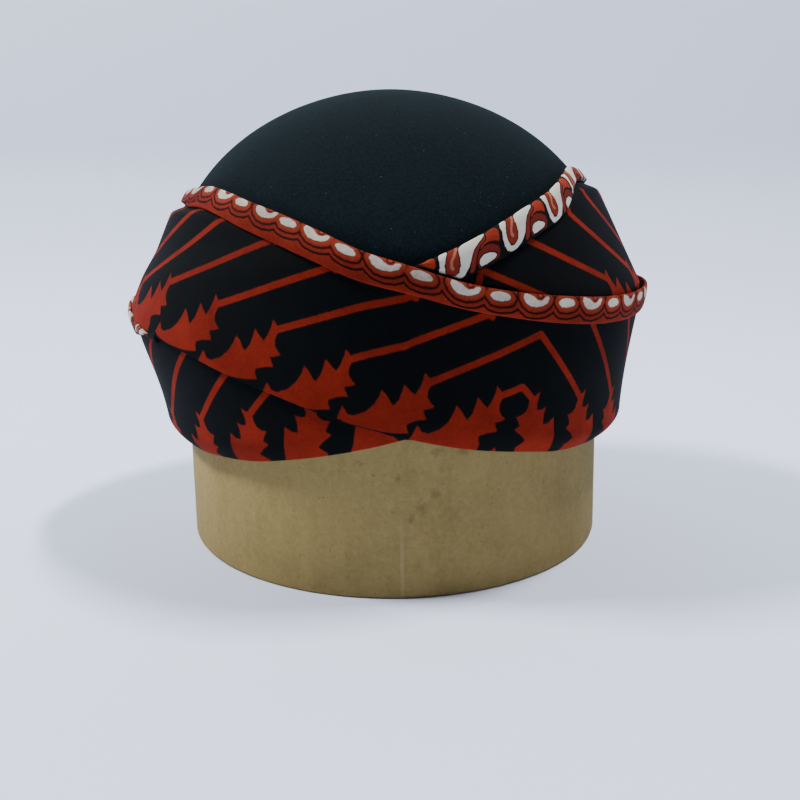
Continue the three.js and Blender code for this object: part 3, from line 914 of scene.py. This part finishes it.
front_column = int(np.argmin(np.abs(hem_angles)))
left_print_share = smoothstep(-hem_angles, LEFT_PRINT_START, LEFT_PRINT_FULL)
print_roll = lerp(HEM_ROLL, RIGHT_PRINT_ROLL, right_share) + LEFT_PRINT_LIFT * left_print_share
hem_along, hem_up = hem_places(front_hem_points, HEM_ROWS, front_column, print_roll[:, None])
drops = np.full(hem_along.shape, FAR)
stamp(drops, hem_along, hem_up, beans, DROP_REACH, lambda x, y: outline_distance(x, y, BEAN))
stamp(drops, hem_along, hem_up, round_drops, DROP_REACH, lambda x, y: outline_distance(x, y, ROUND_DROP))
curls = np.full(hem_along.shape, FAR)
stamp(curls, hem_along, hem_up, beans, DROP_REACH, lambda x, y: outline_distance(x, y, BEAN_CURL))
store(front_hem, "drops", drops, curls)
store(front_hem, "cloth_place", hem_along * MM, hem_up * MM)
print("front hem is", round(float(np.ptp(hem_along))), "mm long")

# %% [markdown]
# ### Hooks and bells
# The hem of the under band has white hooks. A red bell on a dark stroke stands between two hooks, with a
# white half drop under it. Rows give millimetres along from the left of a hook and up from the top edge.
# Each colour gets a distance of its own, because here the parts lie over one another.

# %% Chart the hooks and the bells
HOOK = [
    (0.1, -0.9), (-0.2, -2.4), (0.1, -4.4), (0, -6.6), (0.4, -9), (1.7, -11), (3.9, -12.2),
    (6.3, -12.1), (8.4, -10.9), (10.1, -8.8), (11, -6.5), (12.2, -4.5), (14.2, -3.2), (16.4, -2.2),
    (17.2, -1.2), (14.5, -0.6), (11.4, -0.5), (8.9, -0.6), (7, -1.4), (6.6, -2.9), (6.9, -4.9), (7, -7.4),
    (6.4, -9.4), (4.8, -10.5), (3, -9.9), (1.9, -8), (1.6, -5.6), (2, -3.4), (2.9, -1.6), (2.6, -0.5),
    (1.2, -0.3),
]
HOOK_EYE = [
    (2.9, -0.3), (2.9, -1.6), (2, -3.4), (1.6, -5.6), (1.9, -8), (3, -9.9), (4.8, -10.5), (6.4, -9.4),
    (7, -7.4), (6.9, -4.9), (6.6, -2.9), (7, -1.4), (7, 0),
]
HOOK_TONGUE = [(6.1, -1.2), (5.2, -3.2), (4.1, -4.9), (3.9, -6.4), (4.4, -7.4)]
STROKE = [(16.2, -2.7), (14, -3.6), (12.6, -5.4), (11.7, -7.8), (11.3, -10.6)]
BELL = [
    (14.4, -5.7), (15.1, -4.2), (16.2, -2.9), (17.4, -1.7), (19, -1), (20.8, -0.9), (22, -1.6),
    (22.7, -3), (22.7, -4.8), (22.2, -6.4), (20.5, -5.4), (18, -4.6), (16, -4.8),
]
ARCH = [
    (13.1, -7.2), (14.2, -5.9), (16, -5.3), (18, -5.5), (20.2, -6.4), (21.9, -7.9), (22.4, -9.6),
    (21.8, -11.5), (14, -11.5), (13, -9.5),
]
HALF_DROP = [
    (13.9, -9.6), (14.1, -8.5), (15.4, -7.8), (17.6, -8), (19.7, -8.9), (21, -10), (20.2, -10.8),
    (17, -11.2), (14.6, -11),
]
TONGUE_HALF_WIDTH, STROKE_HALF_WIDTH = 0.5, 0.95
HOOK_PITCH = 24
print("hooks repeat every", HOOK_PITCH, "mm")

# %% [markdown]
# The hem and its tail carry the same print, so one function lays it on both. On the tail the print is
# masked to the width that shows, by the distance from the hem's upper edge.

# %% Lay the hooks on the under hem and its tail
HOOK_START = -17.1
HOOKS = 15
HOOK_REACH = 30
TAIL_PRINT_DOWN = 3.8


def lay_hooks(piece, points, start, first, down=0, shown=FAR * 2):
    """Prints the hooks on the part of the hem that is shown, and leaves black ground below it."""
    along, up_hem = hem_places(points, HEM_ROWS, start, HEM_ROLL + down)
    beyond = np.abs(up_hem + HEM_ROLL + down) - np.reshape(shown, (-1, 1))
    lefts = [(first + HOOK_PITCH * k, 0) for k in range(HOOKS)]

    def lay(draw):
        field = stamp(np.full(along.shape, FAR), along, up_hem, lefts, HOOK_REACH, draw)
        return np.maximum(field, beyond)

    store(piece, "hooks",
          lay(lambda x, y: np.minimum(outline_distance(x, y, HOOK), outline_distance(x, y, HALF_DROP))),
          lay(lambda x, y: outline_distance(x, y, HOOK_EYE)),
          lay(lambda x, y: stroke_distance(x, y, HOOK_TONGUE, TONGUE_HALF_WIDTH)))
    store(piece, "bells",
          lay(lambda x, y: outline_distance(x, y, BELL)),
          lay(lambda x, y: stroke_distance(x, y, STROKE, STROKE_HALF_WIDTH)),
          lay(lambda x, y: outline_distance(x, y, ARCH)))
    store(piece, "cloth_place", along * MM, up_hem * MM)
    print(piece.name, "is", round(float(np.ptp(along))), "mm long")


lay_hooks(under_hem, under_hem_points, 0, HOOK_START)
lay_hooks(
    tail_hem, tail_hem_points, len(tail_hem_angles) - 1, -HOOK_PITCH * (HOOKS - 1),
    TAIL_PRINT_DOWN, tail_print)

# %% [markdown]
# ## What each piece stands for
# Every new piece takes the place of one solid: it hangs from the root, and the solid is hidden. The bands
# are sheets of cloth.

# %% Say what each piece stands for
PIECES = {
    block: ("hat_block", "block_wood"),
    cap: ("crown", "crown_felt"),
    under_wrap: ("under_wrap", "wrap_cloth"),
    front_wrap: ("front_wrap", "wrap_cloth"),
    front_hem: ("front_border", "hem_cloth"),
    under_hem: ("under_border", "hem_cloth"),
    tail_hem: ("under_border_tail", "hem_cloth"),
}
for piece, (node, slot_name) in PIECES.items():
    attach(piece, "root")
    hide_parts(node)

print(len(PIECES), "pieces stand for", len(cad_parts), "solids")

# %% [markdown]
# ## Materials
# Colours are noted as they look on a screen, in hex, and turned to the linear values that light needs.
# Wool, cotton and bare wood have no polish, so all of them are rough and throw back little shine. Each
# finish is a small tree of nodes. It could be painted as a picture, but nodes follow sizes in millimetres
# and have no seams.

# %% Helpers for materials
def hex_colour(code):
    """A screen colour, such as A93A21, as linear red, green, blue and alpha."""
    channels = [int(code[i:i + 2], 16) / 255 for i in (0, 2, 4)]
    return (*(c / 12.92 if c <= 0.04045 else ((c + 0.055) / 1.055) ** 2.4 for c in channels), 1)


def fill_sockets(tree, node, **sockets):
    """Sets or links sockets, which are given by name or, as in _0, by number."""
    for name, value in sockets.items():
        key = int(name[1:]) if name[1:].isdigit() else name.replace("_", " ")
        if isinstance(value, bpy.types.NodeSocket):
            tree.links.new(value, node.inputs[key])
        else:
            node.inputs[key].default_value = value


def add(tree, kind, settings=None, **sockets):
    """Adds a node with its settings, and sets or links its sockets."""
    node = tree.nodes.new("ShaderNode" + kind)
    for name, value in (settings or {}).items():
        setattr(node, name, value)
    fill_sockets(tree, node, **sockets)
    return node


def new_material(name, *pieces):
    """Puts a new material on the pieces, and returns its tree and its surface shader."""
    material = bpy.data.materials.new(name)
    material.use_nodes = True
    tree = material.node_tree
    surface = tree.nodes["Principled BSDF"]
    for piece in pieces:
        piece.data.materials.clear()
        piece.data.materials.append(material)
    return tree, surface


def lay_coats(tree, ground, coats):
    """Lays coats of colour over a ground, each as thick as its share, and returns the result."""
    colour = hex_colour(ground) if isinstance(ground, str) else ground
    for coat, share in coats:
        coat = hex_colour(coat) if isinstance(coat, str) else coat
        colour = add(tree, "Mix", {"data_type": "RGBA"}, _0=share, _6=colour, _7=coat).outputs[2]
    return colour


def size_mm(millimetres):
    """The scale that makes a texture repeat at about this size."""
    return 1 / (millimetres * MM)


print("black cloth in linear values:", [round(part, 4) for part in hex_colour("050708")[:3]])

# %% [markdown]
# ### Printed cotton
# Batik is dyed in layers on a plain weave. Black covers the ground. The red sits in the waxed lines, and
# it bleeds a little at its edges. The threads are about 0.35 mm apart, too fine for the picture, so the
# weave is drawn about twice as coarse and very faint. What all printed cotton here has in common comes
# first: where a place on the cloth is, how the dye's edge wanders, and how the threads stand up.

# %% What every printed cotton needs
BLEED_MM, BLEED_SPOT_MM = 0.22, 1.1
EDGE_MM = 0.13
THREAD_MM, SLUB_MM = 0.7, 2.5
WAVE_TURNS = 0.5


def cloth_coordinates(tree):
    """Places along the flat cloth, for the weave, and places in space, for stains and bleeding."""
    place = add(tree, "Attribute", {"attribute_name": "cloth_place"})
    objects = add(tree, "TexCoord")
    return place.outputs["Vector"], objects.outputs["Object"]


def printed_fields(tree, name, wobble):
    """The stored distances in mm, each with the dye's small wobble added."""
    stored = add(tree, "Attribute", {"attribute_name": name}).outputs["Vector"]
    fields = add(tree, "SeparateXYZ", Vector=stored).outputs
    return [add(tree, "Math", {"operation": "ADD"}, _0=field, _1=wobble).outputs[0] for field in fields]


def inside(tree, field, edge=0.0, soft=EDGE_MM):
    """One inside an outline that is moved out by edge, and nothing outside it."""
    return add(tree, "MapRange", {"interpolation_type": "SMOOTHSTEP"}, Value=field,
               From_Min=edge + soft, From_Max=edge - soft).outputs["Result"]


def dye_wobble(tree, objects):
    """How far the dye creeps past its outline or falls short of it, in mm."""
    noise = add(tree, "TexNoise", Vector=objects, Scale=size_mm(BLEED_SPOT_MM), Detail=2.0).outputs["Fac"]
    wobble = add(tree, "MapRange", Value=noise, To_Min=-BLEED_MM, To_Max=BLEED_MM)
    return wobble.outputs["Result"]


def weave_height(tree, place, objects):
    """Threads both ways, a little uneven, as one height."""
    scale = size_mm(THREAD_MM) / (2 * math.pi) * WAVE_TURNS
    across, along = (
        add(tree, "TexWave", {"bands_direction": direction}, Vector=place,
            Scale=scale, Distortion=0.6, Detail=1.0).outputs["Fac"]
        for direction in ("X", "Y"))
    both = add(tree, "Math", {"operation": "ADD"}, _0=across, _1=along).outputs[0]
    slub = add(tree, "TexNoise", Vector=objects, Scale=size_mm(SLUB_MM), Detail=4.0, Roughness=0.7)
    return add(tree, "Math", {"operation": "ADD"}, _0=both, _1=slub.outputs["Fac"]).outputs[0]


print("threads are drawn", THREAD_MM, "mm apart")

# %% [markdown]
# Dyed cotton is matt. Its colour is uneven because the dye takes more in some places than in others, and
# the eye reads that as cloth before it reads any thread.

# %% How dyed cotton takes the light
WEAVE_DEPTH_MM = 0.25
PATCH_MM, FLECK_MM = 14, 0.9


def cotton_surface(tree, surface, colour, place, objects):
    height = weave_height(tree, place, objects)
    normal = add(tree, "Bump", Strength=0.05, Distance=WEAVE_DEPTH_MM * MM, Height=height).outputs["Normal"]
    fill_sockets(
        tree, surface, Base_Color=colour, Roughness=0.86, IOR=1.5, Specular_IOR_Level=0.06,
        Diffuse_Roughness=0.8, Normal=normal)


def red_dye(tree, objects, bright, dull):
    """Red takes unevenly on cotton: streaks and small pale flecks."""
    patches = add(tree, "TexNoise", Vector=objects, Scale=size_mm(PATCH_MM), Detail=3.0, Roughness=0.6)
    flecks = add(tree, "TexNoise", Vector=objects, Scale=size_mm(FLECK_MM), Detail=2.0)
    mottled = add(tree, "Math", {"operation": "MULTIPLY_ADD"}, _0=flecks.outputs["Fac"], _1=0.5,
                  _2=patches.outputs["Fac"]).outputs[0]
    share = add(tree, "MapRange", Value=mottled, From_Min=0.5, From_Max=1.0).outputs["Result"]
    return lay_coats(tree, dull, [(bright, share)])


print("patches of dye are", PATCH_MM, "mm and flecks", FLECK_MM, "mm wide")

# %% [markdown]
# The bands themselves are black cotton with red leaves. A thin dark brown edge, where the two dyes lie
# over each other, keeps the red from looking pasted on.

# %% Cotton of the bands
GROUND_MM = 9
BROWN_EDGE_MM = 0.28

# dyed cotton, plain woven: nearly black and quite matt, with clear red shapes
tree, surface = new_material("printed cotton", front_wrap, under_wrap)
place, objects = cloth_coordinates(tree)
leaves = printed_fields(tree, "leaves", dye_wobble(tree, objects))[0]
ground_noise = add(tree, "TexNoise", Vector=objects, Scale=size_mm(GROUND_MM), Detail=3.0)
printed = lay_coats(tree, "050708", [
    ("0B0F10", ground_noise.outputs["Fac"]),
    ("3A140E", inside(tree, leaves, BROWN_EDGE_MM)),
    (red_dye(tree, objects, "932816", "761C0E"), inside(tree, leaves)),
])
cotton_surface(tree, surface, printed, place, objects)
print("printed cotton is made of", len(tree.nodes), "nodes")

# %% [markdown]
# The hem of the front band is read from its distance to the white drops: white, a brown rim, salmon, a
# dark waxed line, red, the dark scallop and the plain red strip. Masks could be laid one over another, but
# they are all rings round the same drops, so one colour ramp holds them in order.

# %% Hem of drops and scallops
# distance from a drop in mm, colour
DROP_RINGS = [
    (-0.2, "D5CFC1"), (0.05, "7A4230"), (0.3, "9A3E26"), (1.2, "9A301C"), (1.6, "7A2616"),
    (1.75, "340F0A"), (2.2, "340F0A"), (2.5, "8A2A1A"), (3.3, "902C1A"), (3.55, "300E09"),
    (4.05, "300E09"), (4.35, "932C19"), (6.5, "8C2817"),
]
RING_START, RING_END = -1.0, 7.0
CURL_EDGE_MM, CURL_INSET_MM = 0.35, -0.1

# dyed cotton, folded double: matt red with off-white drops that are the brightest spots of the hat
tree, surface = new_material("printed hem with drops", front_hem)
place, objects = cloth_coordinates(tree)
drops, curls, _ = printed_fields(tree, "drops", dye_wobble(tree, objects))
ring_place = add(tree, "MapRange", Value=drops, From_Min=RING_START, From_Max=RING_END).outputs["Result"]
ramp = add(tree, "ValToRGB", Fac=ring_place)
stops = ramp.color_ramp.elements
while len(stops) < len(DROP_RINGS):
    stops.new(1.0)
for stop, (distance, code) in zip(stops, DROP_RINGS):
    stop.position = (distance - RING_START) / (RING_END - RING_START)
    stop.color = hex_colour(code)
mottle = red_dye(tree, objects, "FFFFFF", "C9BDB8")
dyed = add(tree, "Mix", {"data_type": "RGBA", "blend_type": "MULTIPLY"},
           _0=1.0, _6=ramp.outputs["Color"], _7=mottle).outputs[2]
curled = lay_coats(tree, dyed, [
    ("3C120C", inside(tree, curls, CURL_EDGE_MM)),
    ("A03A28", inside(tree, curls, CURL_INSET_MM)),
])
cotton_surface(tree, surface, curled, place, objects)
print("the hem with drops is made of", len(tree.nodes), "nodes, with", len(DROP_RINGS), "rings of colour")

# %% [markdown]
# The hem of the under band is painted in the order in which the dyer would cover it: black ground, the
# dark arch, the red bell, the dark stroke, and the white hook with its red eye.

# %% Hem of hooks and bells
OUTLINE_MM = 0.42
EYE_INSET_MM = -0.4

# dyed cotton, folded double: a busy strip of off-white hooks and bright red bells on black
tree, surface = new_material("printed hem with hooks", under_hem, tail_hem)
place, objects = cloth_coordinates(tree)
wobble = dye_wobble(tree, objects)
hooks, eyes, tongues = printed_fields(tree, "hooks", wobble)
bells, strokes, arches = printed_fields(tree, "bells", wobble)
painted = lay_coats(tree, "0E1213", [
    ("2C0F0C", inside(tree, arches, OUTLINE_MM)),
    ("6E231B", inside(tree, arches)),
    ("2C0F0C", inside(tree, bells, OUTLINE_MM)),
    (red_dye(tree, objects, "A93A21", "862B1A"), inside(tree, bells)),
    ("240C0A", inside(tree, strokes, OUTLINE_MM)),
    ("7A2A20", inside(tree, strokes)),
    ("1C0C0A", inside(tree, hooks, OUTLINE_MM)),
    ("2C0F0C", inside(tree, eyes)),
    ("7E2C20", inside(tree, eyes, EYE_INSET_MM)),
    ("B0674F", inside(tree, tongues)),
    ("D5CFC1", inside(tree, hooks)),
])
cotton_surface(tree, surface, painted, place, objects)
print("the hem with hooks is made of", len(tree.nodes), "nodes")

# %% [markdown]
# ### Wool felt
# Felt has no weave. Its fibres lie in all directions and soften every highlight, and a few pale ones
# stand out as lint. Hair could be grown on it, but at this size the nap is only a change of tone. It is
# finer than the picture can show, so it is drawn about 0.8 mm coarse.

# %% Felt of the cap
NAP_MM, CLOUD_MM, LINT_MM = 0.8, 16, 2.5
NAP_DEPTH_MM = 0.4

# wool felt, steamed and brushed: deep blue-black without any gloss, soft where the light falls off
tree, surface = new_material("wool felt", cap)
objects = add(tree, "TexCoord").outputs["Object"]
nap = add(tree, "TexNoise", Vector=objects, Scale=size_mm(NAP_MM), Detail=4.0, Roughness=0.7).outputs["Fac"]
clouds = add(tree, "TexNoise", Vector=objects, Scale=size_mm(CLOUD_MM), Detail=4.0, Roughness=0.65)
fibres = add(tree, "MapRange", Value=nap, From_Min=0.35, From_Max=0.72)

# a few cells of the Voronoi pattern are chosen by their colour, and each gets a pale dot at its centre
cells = add(tree, "TexVoronoi", Vector=objects, Scale=size_mm(LINT_MM), Randomness=1.0)
dot = add(tree, "MapRange", Value=cells.outputs["Distance"], From_Min=0.12, From_Max=0.05)
chosen = add(tree, "SeparateXYZ", Vector=cells.outputs["Color"]).outputs[0]
chosen = add(tree, "MapRange", Value=chosen, From_Min=0.6, From_Max=0.9)
lint = add(tree, "Math", {"operation": "MULTIPLY"}, _0=dot.outputs["Result"], _1=chosen.outputs["Result"])
felt = lay_coats(tree, "0C1518", [
    ("141F24", clouds.outputs["Fac"]),
    ("1B282D", fibres.outputs["Result"]),
    ("3E4D52", lint.outputs[0]),
])
normal = add(tree, "Bump", Strength=0.3, Distance=NAP_DEPTH_MM * MM, Height=nap).outputs["Normal"]
fill_sockets(
    tree, surface, Base_Color=felt, Roughness=0.95, IOR=1.5, Specular_IOR_Level=0.03,
    Diffuse_Roughness=1.0, Normal=normal)
print("wool felt is made of", len(tree.nodes), "nodes")

# %% [markdown]
# ### Hardwood of the block
# The block is pale hardwood, planed and never varnished. It has been rubbed and soiled by handling. A
# photograph of boards could be wrapped round it, but layers of noise in real sizes do the same and fit
# everywhere. Upright grain comes first, then stains, dust, pale rubbed patches and dark scuffs.

# %% Grain, stains and rubbed patches
GRAIN_MM, GRAIN_SQUEEZE = 5, 0.2
GRAIN_DEPTH_MM = 0.3

# planed hardwood, bare: pale and dry, with a dull surface that shows every stain
tree, surface = new_material("planed hardwood", block)
objects = add(tree, "TexCoord").outputs["Object"]
upright = add(tree, "Mapping", Vector=objects, Scale=(1, 1, GRAIN_SQUEEZE)).outputs["Vector"]
grain = add(tree, "TexNoise", Vector=upright, Scale=size_mm(GRAIN_MM), Detail=5.0, Roughness=0.6)
grain = grain.outputs["Fac"]
wood = lay_coats(tree, "857243", [("9B8755", grain)])

# stain, dust, rubbed patches, scuffs: colour, size in mm, detail, roughness, starts, full, strength
WEAR = [
    ("76633A", 26, 4, 0.6, 0.45, 0.75, 0.6),
    ("63522F", 1.4, 3, 0.8, 0.58, 0.76, 0.7),
    ("AD9A68", 2.2, 5, 0.7, 0.45, 0.75, 0.32),
    ("5A4B2A", 7, 5, 0.75, 0.62, 0.8, 0.6),
]
for code, spot_mm, detail, roughness, starts, full, strength in WEAR:
    spots = add(tree, "TexNoise", Vector=objects,
                Scale=size_mm(spot_mm), Detail=detail, Roughness=roughness)
    share = add(tree, "MapRange", Value=spots.outputs["Fac"],
                From_Min=starts, From_Max=full, To_Max=strength)
    wood = lay_coats(tree, wood, [(code, share.outputs["Result"])])
print("planed hardwood has", len(WEAR), "kinds of wear")

# %% [markdown]
# A few dirt marks sit just below the hat. Each is a ball of dark colour round a place on the surface, and
# its edge is made ragged by a noise that pushes the places about by a few millimetres.

# %% Dirt marks
RAGGED_MM, RAGGED_SPOT_MM = 9, 2.6
MARK_CORE_MM, MARK_STRENGTH = 0.3, 0.5

# across, up and radius in mm
DIRT_MARKS = [
    (8, 36, 2), (-4, 41.5, 1.5), (-17, 46.5, 1.5), (8.5, 50.5, 2.4), (17, 50, 2.4),
    (-0.5, 28, 2.2), (3, 31, 2.4),
]
push = add(tree, "TexNoise", Vector=objects, Scale=size_mm(RAGGED_SPOT_MM), Detail=6.0, Roughness=0.85)
ragged = add(tree, "VectorMath", {"operation": "MULTIPLY_ADD"},
             _0=push.outputs["Color"], _1=(RAGGED_MM * MM,) * 3, _2=objects).outputs[0]
for across, high, radius in DIRT_MARKS:
    deep = -BLOCK_DEPTH / 2 * math.sqrt(1 - (across / BLOCK_WIDTH * 2) ** 2)
    centre = tuple((along + RAGGED_MM / 2) * MM for along in (across, deep, high))
    away = add(tree, "VectorMath", {"operation": "DISTANCE"}, _0=ragged, _1=centre)
    share = add(tree, "MapRange", Value=away.outputs["Value"],
                From_Min=radius * MM, From_Max=MARK_CORE_MM * MM, To_Max=MARK_STRENGTH)
    wood = lay_coats(tree, wood, [("54462A", share.outputs["Result"])])
print(len(DIRT_MARKS), "dirt marks on the block")

# %% [markdown]
# The block is glued up from two halves, and the joint shows in front as a thin pale line near the middle.
# Three shares are multiplied: near the line, on the front side, and low down, where the line is cleanest.

# %% The glued joint
SEAM_X, SEAM_TOP, SEAM_FADE = -3.7, 30, 12
SEAM_EDGE, SEAM_CORE = 0.9, 0.3
FRONT_SIDE_START, FRONT_SIDE_FULL = -10, -20
SEAM_STRENGTH = 0.24

places = add(tree, "SeparateXYZ", Vector=objects).outputs
off_seam = add(tree, "Math", {"operation": "SUBTRACT"}, _0=places["X"], _1=SEAM_X * MM).outputs[0]
off_seam = add(tree, "Math", {"operation": "ABSOLUTE"}, _0=off_seam).outputs[0]
shares = [
    add(tree, "MapRange", Value=value, From_Min=nothing * MM, From_Max=full * MM).outputs["Result"]
    for value, nothing, full in (
        (off_seam, SEAM_EDGE, SEAM_CORE),
        (places["Y"], FRONT_SIDE_START, FRONT_SIDE_FULL),
        (places["Z"], SEAM_TOP, SEAM_TOP - SEAM_FADE),
    )
]
seam_share = shares[0]
for share in (*shares[1:], SEAM_STRENGTH):
    seam_share = add(tree, "Math", {"operation": "MULTIPLY"}, _0=seam_share, _1=share).outputs[0]
wood = lay_coats(tree, wood, [("B9A678", seam_share)])
normal = add(tree, "Bump", Strength=0.15, Distance=GRAIN_DEPTH_MM * MM, Height=grain).outputs["Normal"]
fill_sockets(
    tree, surface, Base_Color=wood, Roughness=0.85, IOR=1.5, Specular_IOR_Level=0.12, Normal=normal)
print("planed hardwood is made of", len(tree.nodes), "nodes")

# %% [markdown]
# ## The studio
# A pale sheet of paper lies under the block and sweeps up behind it, as in a product photograph. A flat
# floor would end in a hard line behind the hat, and the sweep turns it into an even tone. A plane is
# stretched to the size of the sheet, and its back edge is drawn up in small steps along an arc. Its sizes
# are in metres.

# %% Paper sweep
SWEEP_BACK, SWEEP_FRONT, SWEEP_SIDE = 0.49, -1.6, 1.8
SWEEP_RADIUS, SWEEP_TOP = 0.16, 1.4
SWEEP_STEPS = 16
clear_selection()
bpy.ops.mesh.primitive_plane_add(size=1, location=(0, 0, 0))
floor = name_active("paper_sweep")
bpy.ops.object.mode_set(mode="EDIT")
bpy.ops.mesh.select_all(action="SELECT")
bpy.ops.transform.resize(value=(2 * SWEEP_SIDE, SWEEP_BACK - SWEEP_FRONT, 1), center_override=(0, 0, 0))
bpy.ops.transform.translate(value=(0, (SWEEP_BACK + SWEEP_FRONT) / 2, 0))
bpy.ops.mesh.select_mode(type="EDGE")
bpy.ops.mesh.select_all(action="DESELECT")
bpy.ops.object.mode_set(mode="OBJECT")
for edge in floor.data.edges:
    edge.select = all(floor.data.vertices[i].co.y > SWEEP_BACK - 0.01 for i in edge.vertices)
bpy.ops.object.mode_set(mode="EDIT")
at = Vector((0, SWEEP_BACK, 0))
for step in range(1, SWEEP_STEPS + 1):
    turn = math.pi / 2 * step / SWEEP_STEPS
    goal = Vector((0, SWEEP_BACK + SWEEP_RADIUS * math.sin(turn), SWEEP_RADIUS * (1 - math.cos(turn))))
    bpy.ops.mesh.extrude_region_move(TRANSFORM_OT_translate={"value": goal - at})
    at = goal
bpy.ops.mesh.extrude_region_move(TRANSFORM_OT_translate={"value": (0, 0, SWEEP_TOP - SWEEP_RADIUS)})
bpy.ops.object.mode_set(mode="OBJECT")
floor.data.shade_smooth()

# uncoated paper: an even, cool white that keeps shadows soft and mirrors nothing
tree, surface = new_material("matt paper", floor)
fill_sockets(
    tree, surface, Base_Color=hex_colour("CED6E9"), Roughness=0.9, IOR=1.5, Specular_IOR_Level=0.2)
print("paper sweep", len(floor.data.polygons), "faces")

# %% [markdown]
# ### Light
# Two soft lamps hang high over the hat, one towards each side, and each throws its shadow to the other
# side. They could be suns, but narrow rectangles give shadows that are soft at their edges, as a window or
# a tube lamp does. A weak, slightly blue light from all round keeps the black cloth readable.

# %% Two soft lamps and the light of the room
LAMP_DISTANCE, LAMP_WIDTH, LAMP_LENGTH = 1.6, 0.12, 0.4
LAMP_TARGET = Vector((0, 0, 0.06))
ROOM_LIGHT = 0.12
# direction from the hat, watts
LAMPS = {"left lamp": ((-0.79, 0.08, 1.0), 38.0), "right lamp": ((0.38, 0.02, 1.0), 36.0)}
for name, (direction, watts) in LAMPS.items():
    lamp_data = bpy.data.lights.new(name, "AREA")
    lamp_data.shape = "RECTANGLE"
    lamp_data.energy = watts
    lamp_data.size, lamp_data.size_y = LAMP_WIDTH, LAMP_LENGTH
    lamp_data.color = hex_colour("FFFFFF")[:3]
    lamp = bpy.data.objects.new(name, lamp_data)
    lamp.location = LAMP_TARGET + Vector(direction).normalized() * LAMP_DISTANCE
    facing = (lamp.location - LAMP_TARGET).normalized()
    across = Vector((0, 1, 0)).cross(facing).normalized()
    lamp.rotation_euler = Matrix((across, facing.cross(across), facing)).transposed().to_euler()
    bpy.context.scene.collection.objects.link(lamp)
    print(name, "stands at", [round(part, 2) for part in lamp.location], "m with", watts, "W")
world = bpy.data.worlds.new("room light")
bpy.context.scene.world = world
world.use_nodes = True
sky = world.node_tree.nodes["Background"]
fill_sockets(world.node_tree, sky, Color=hex_colour("DCE8FF"), Strength=ROOM_LIGHT)
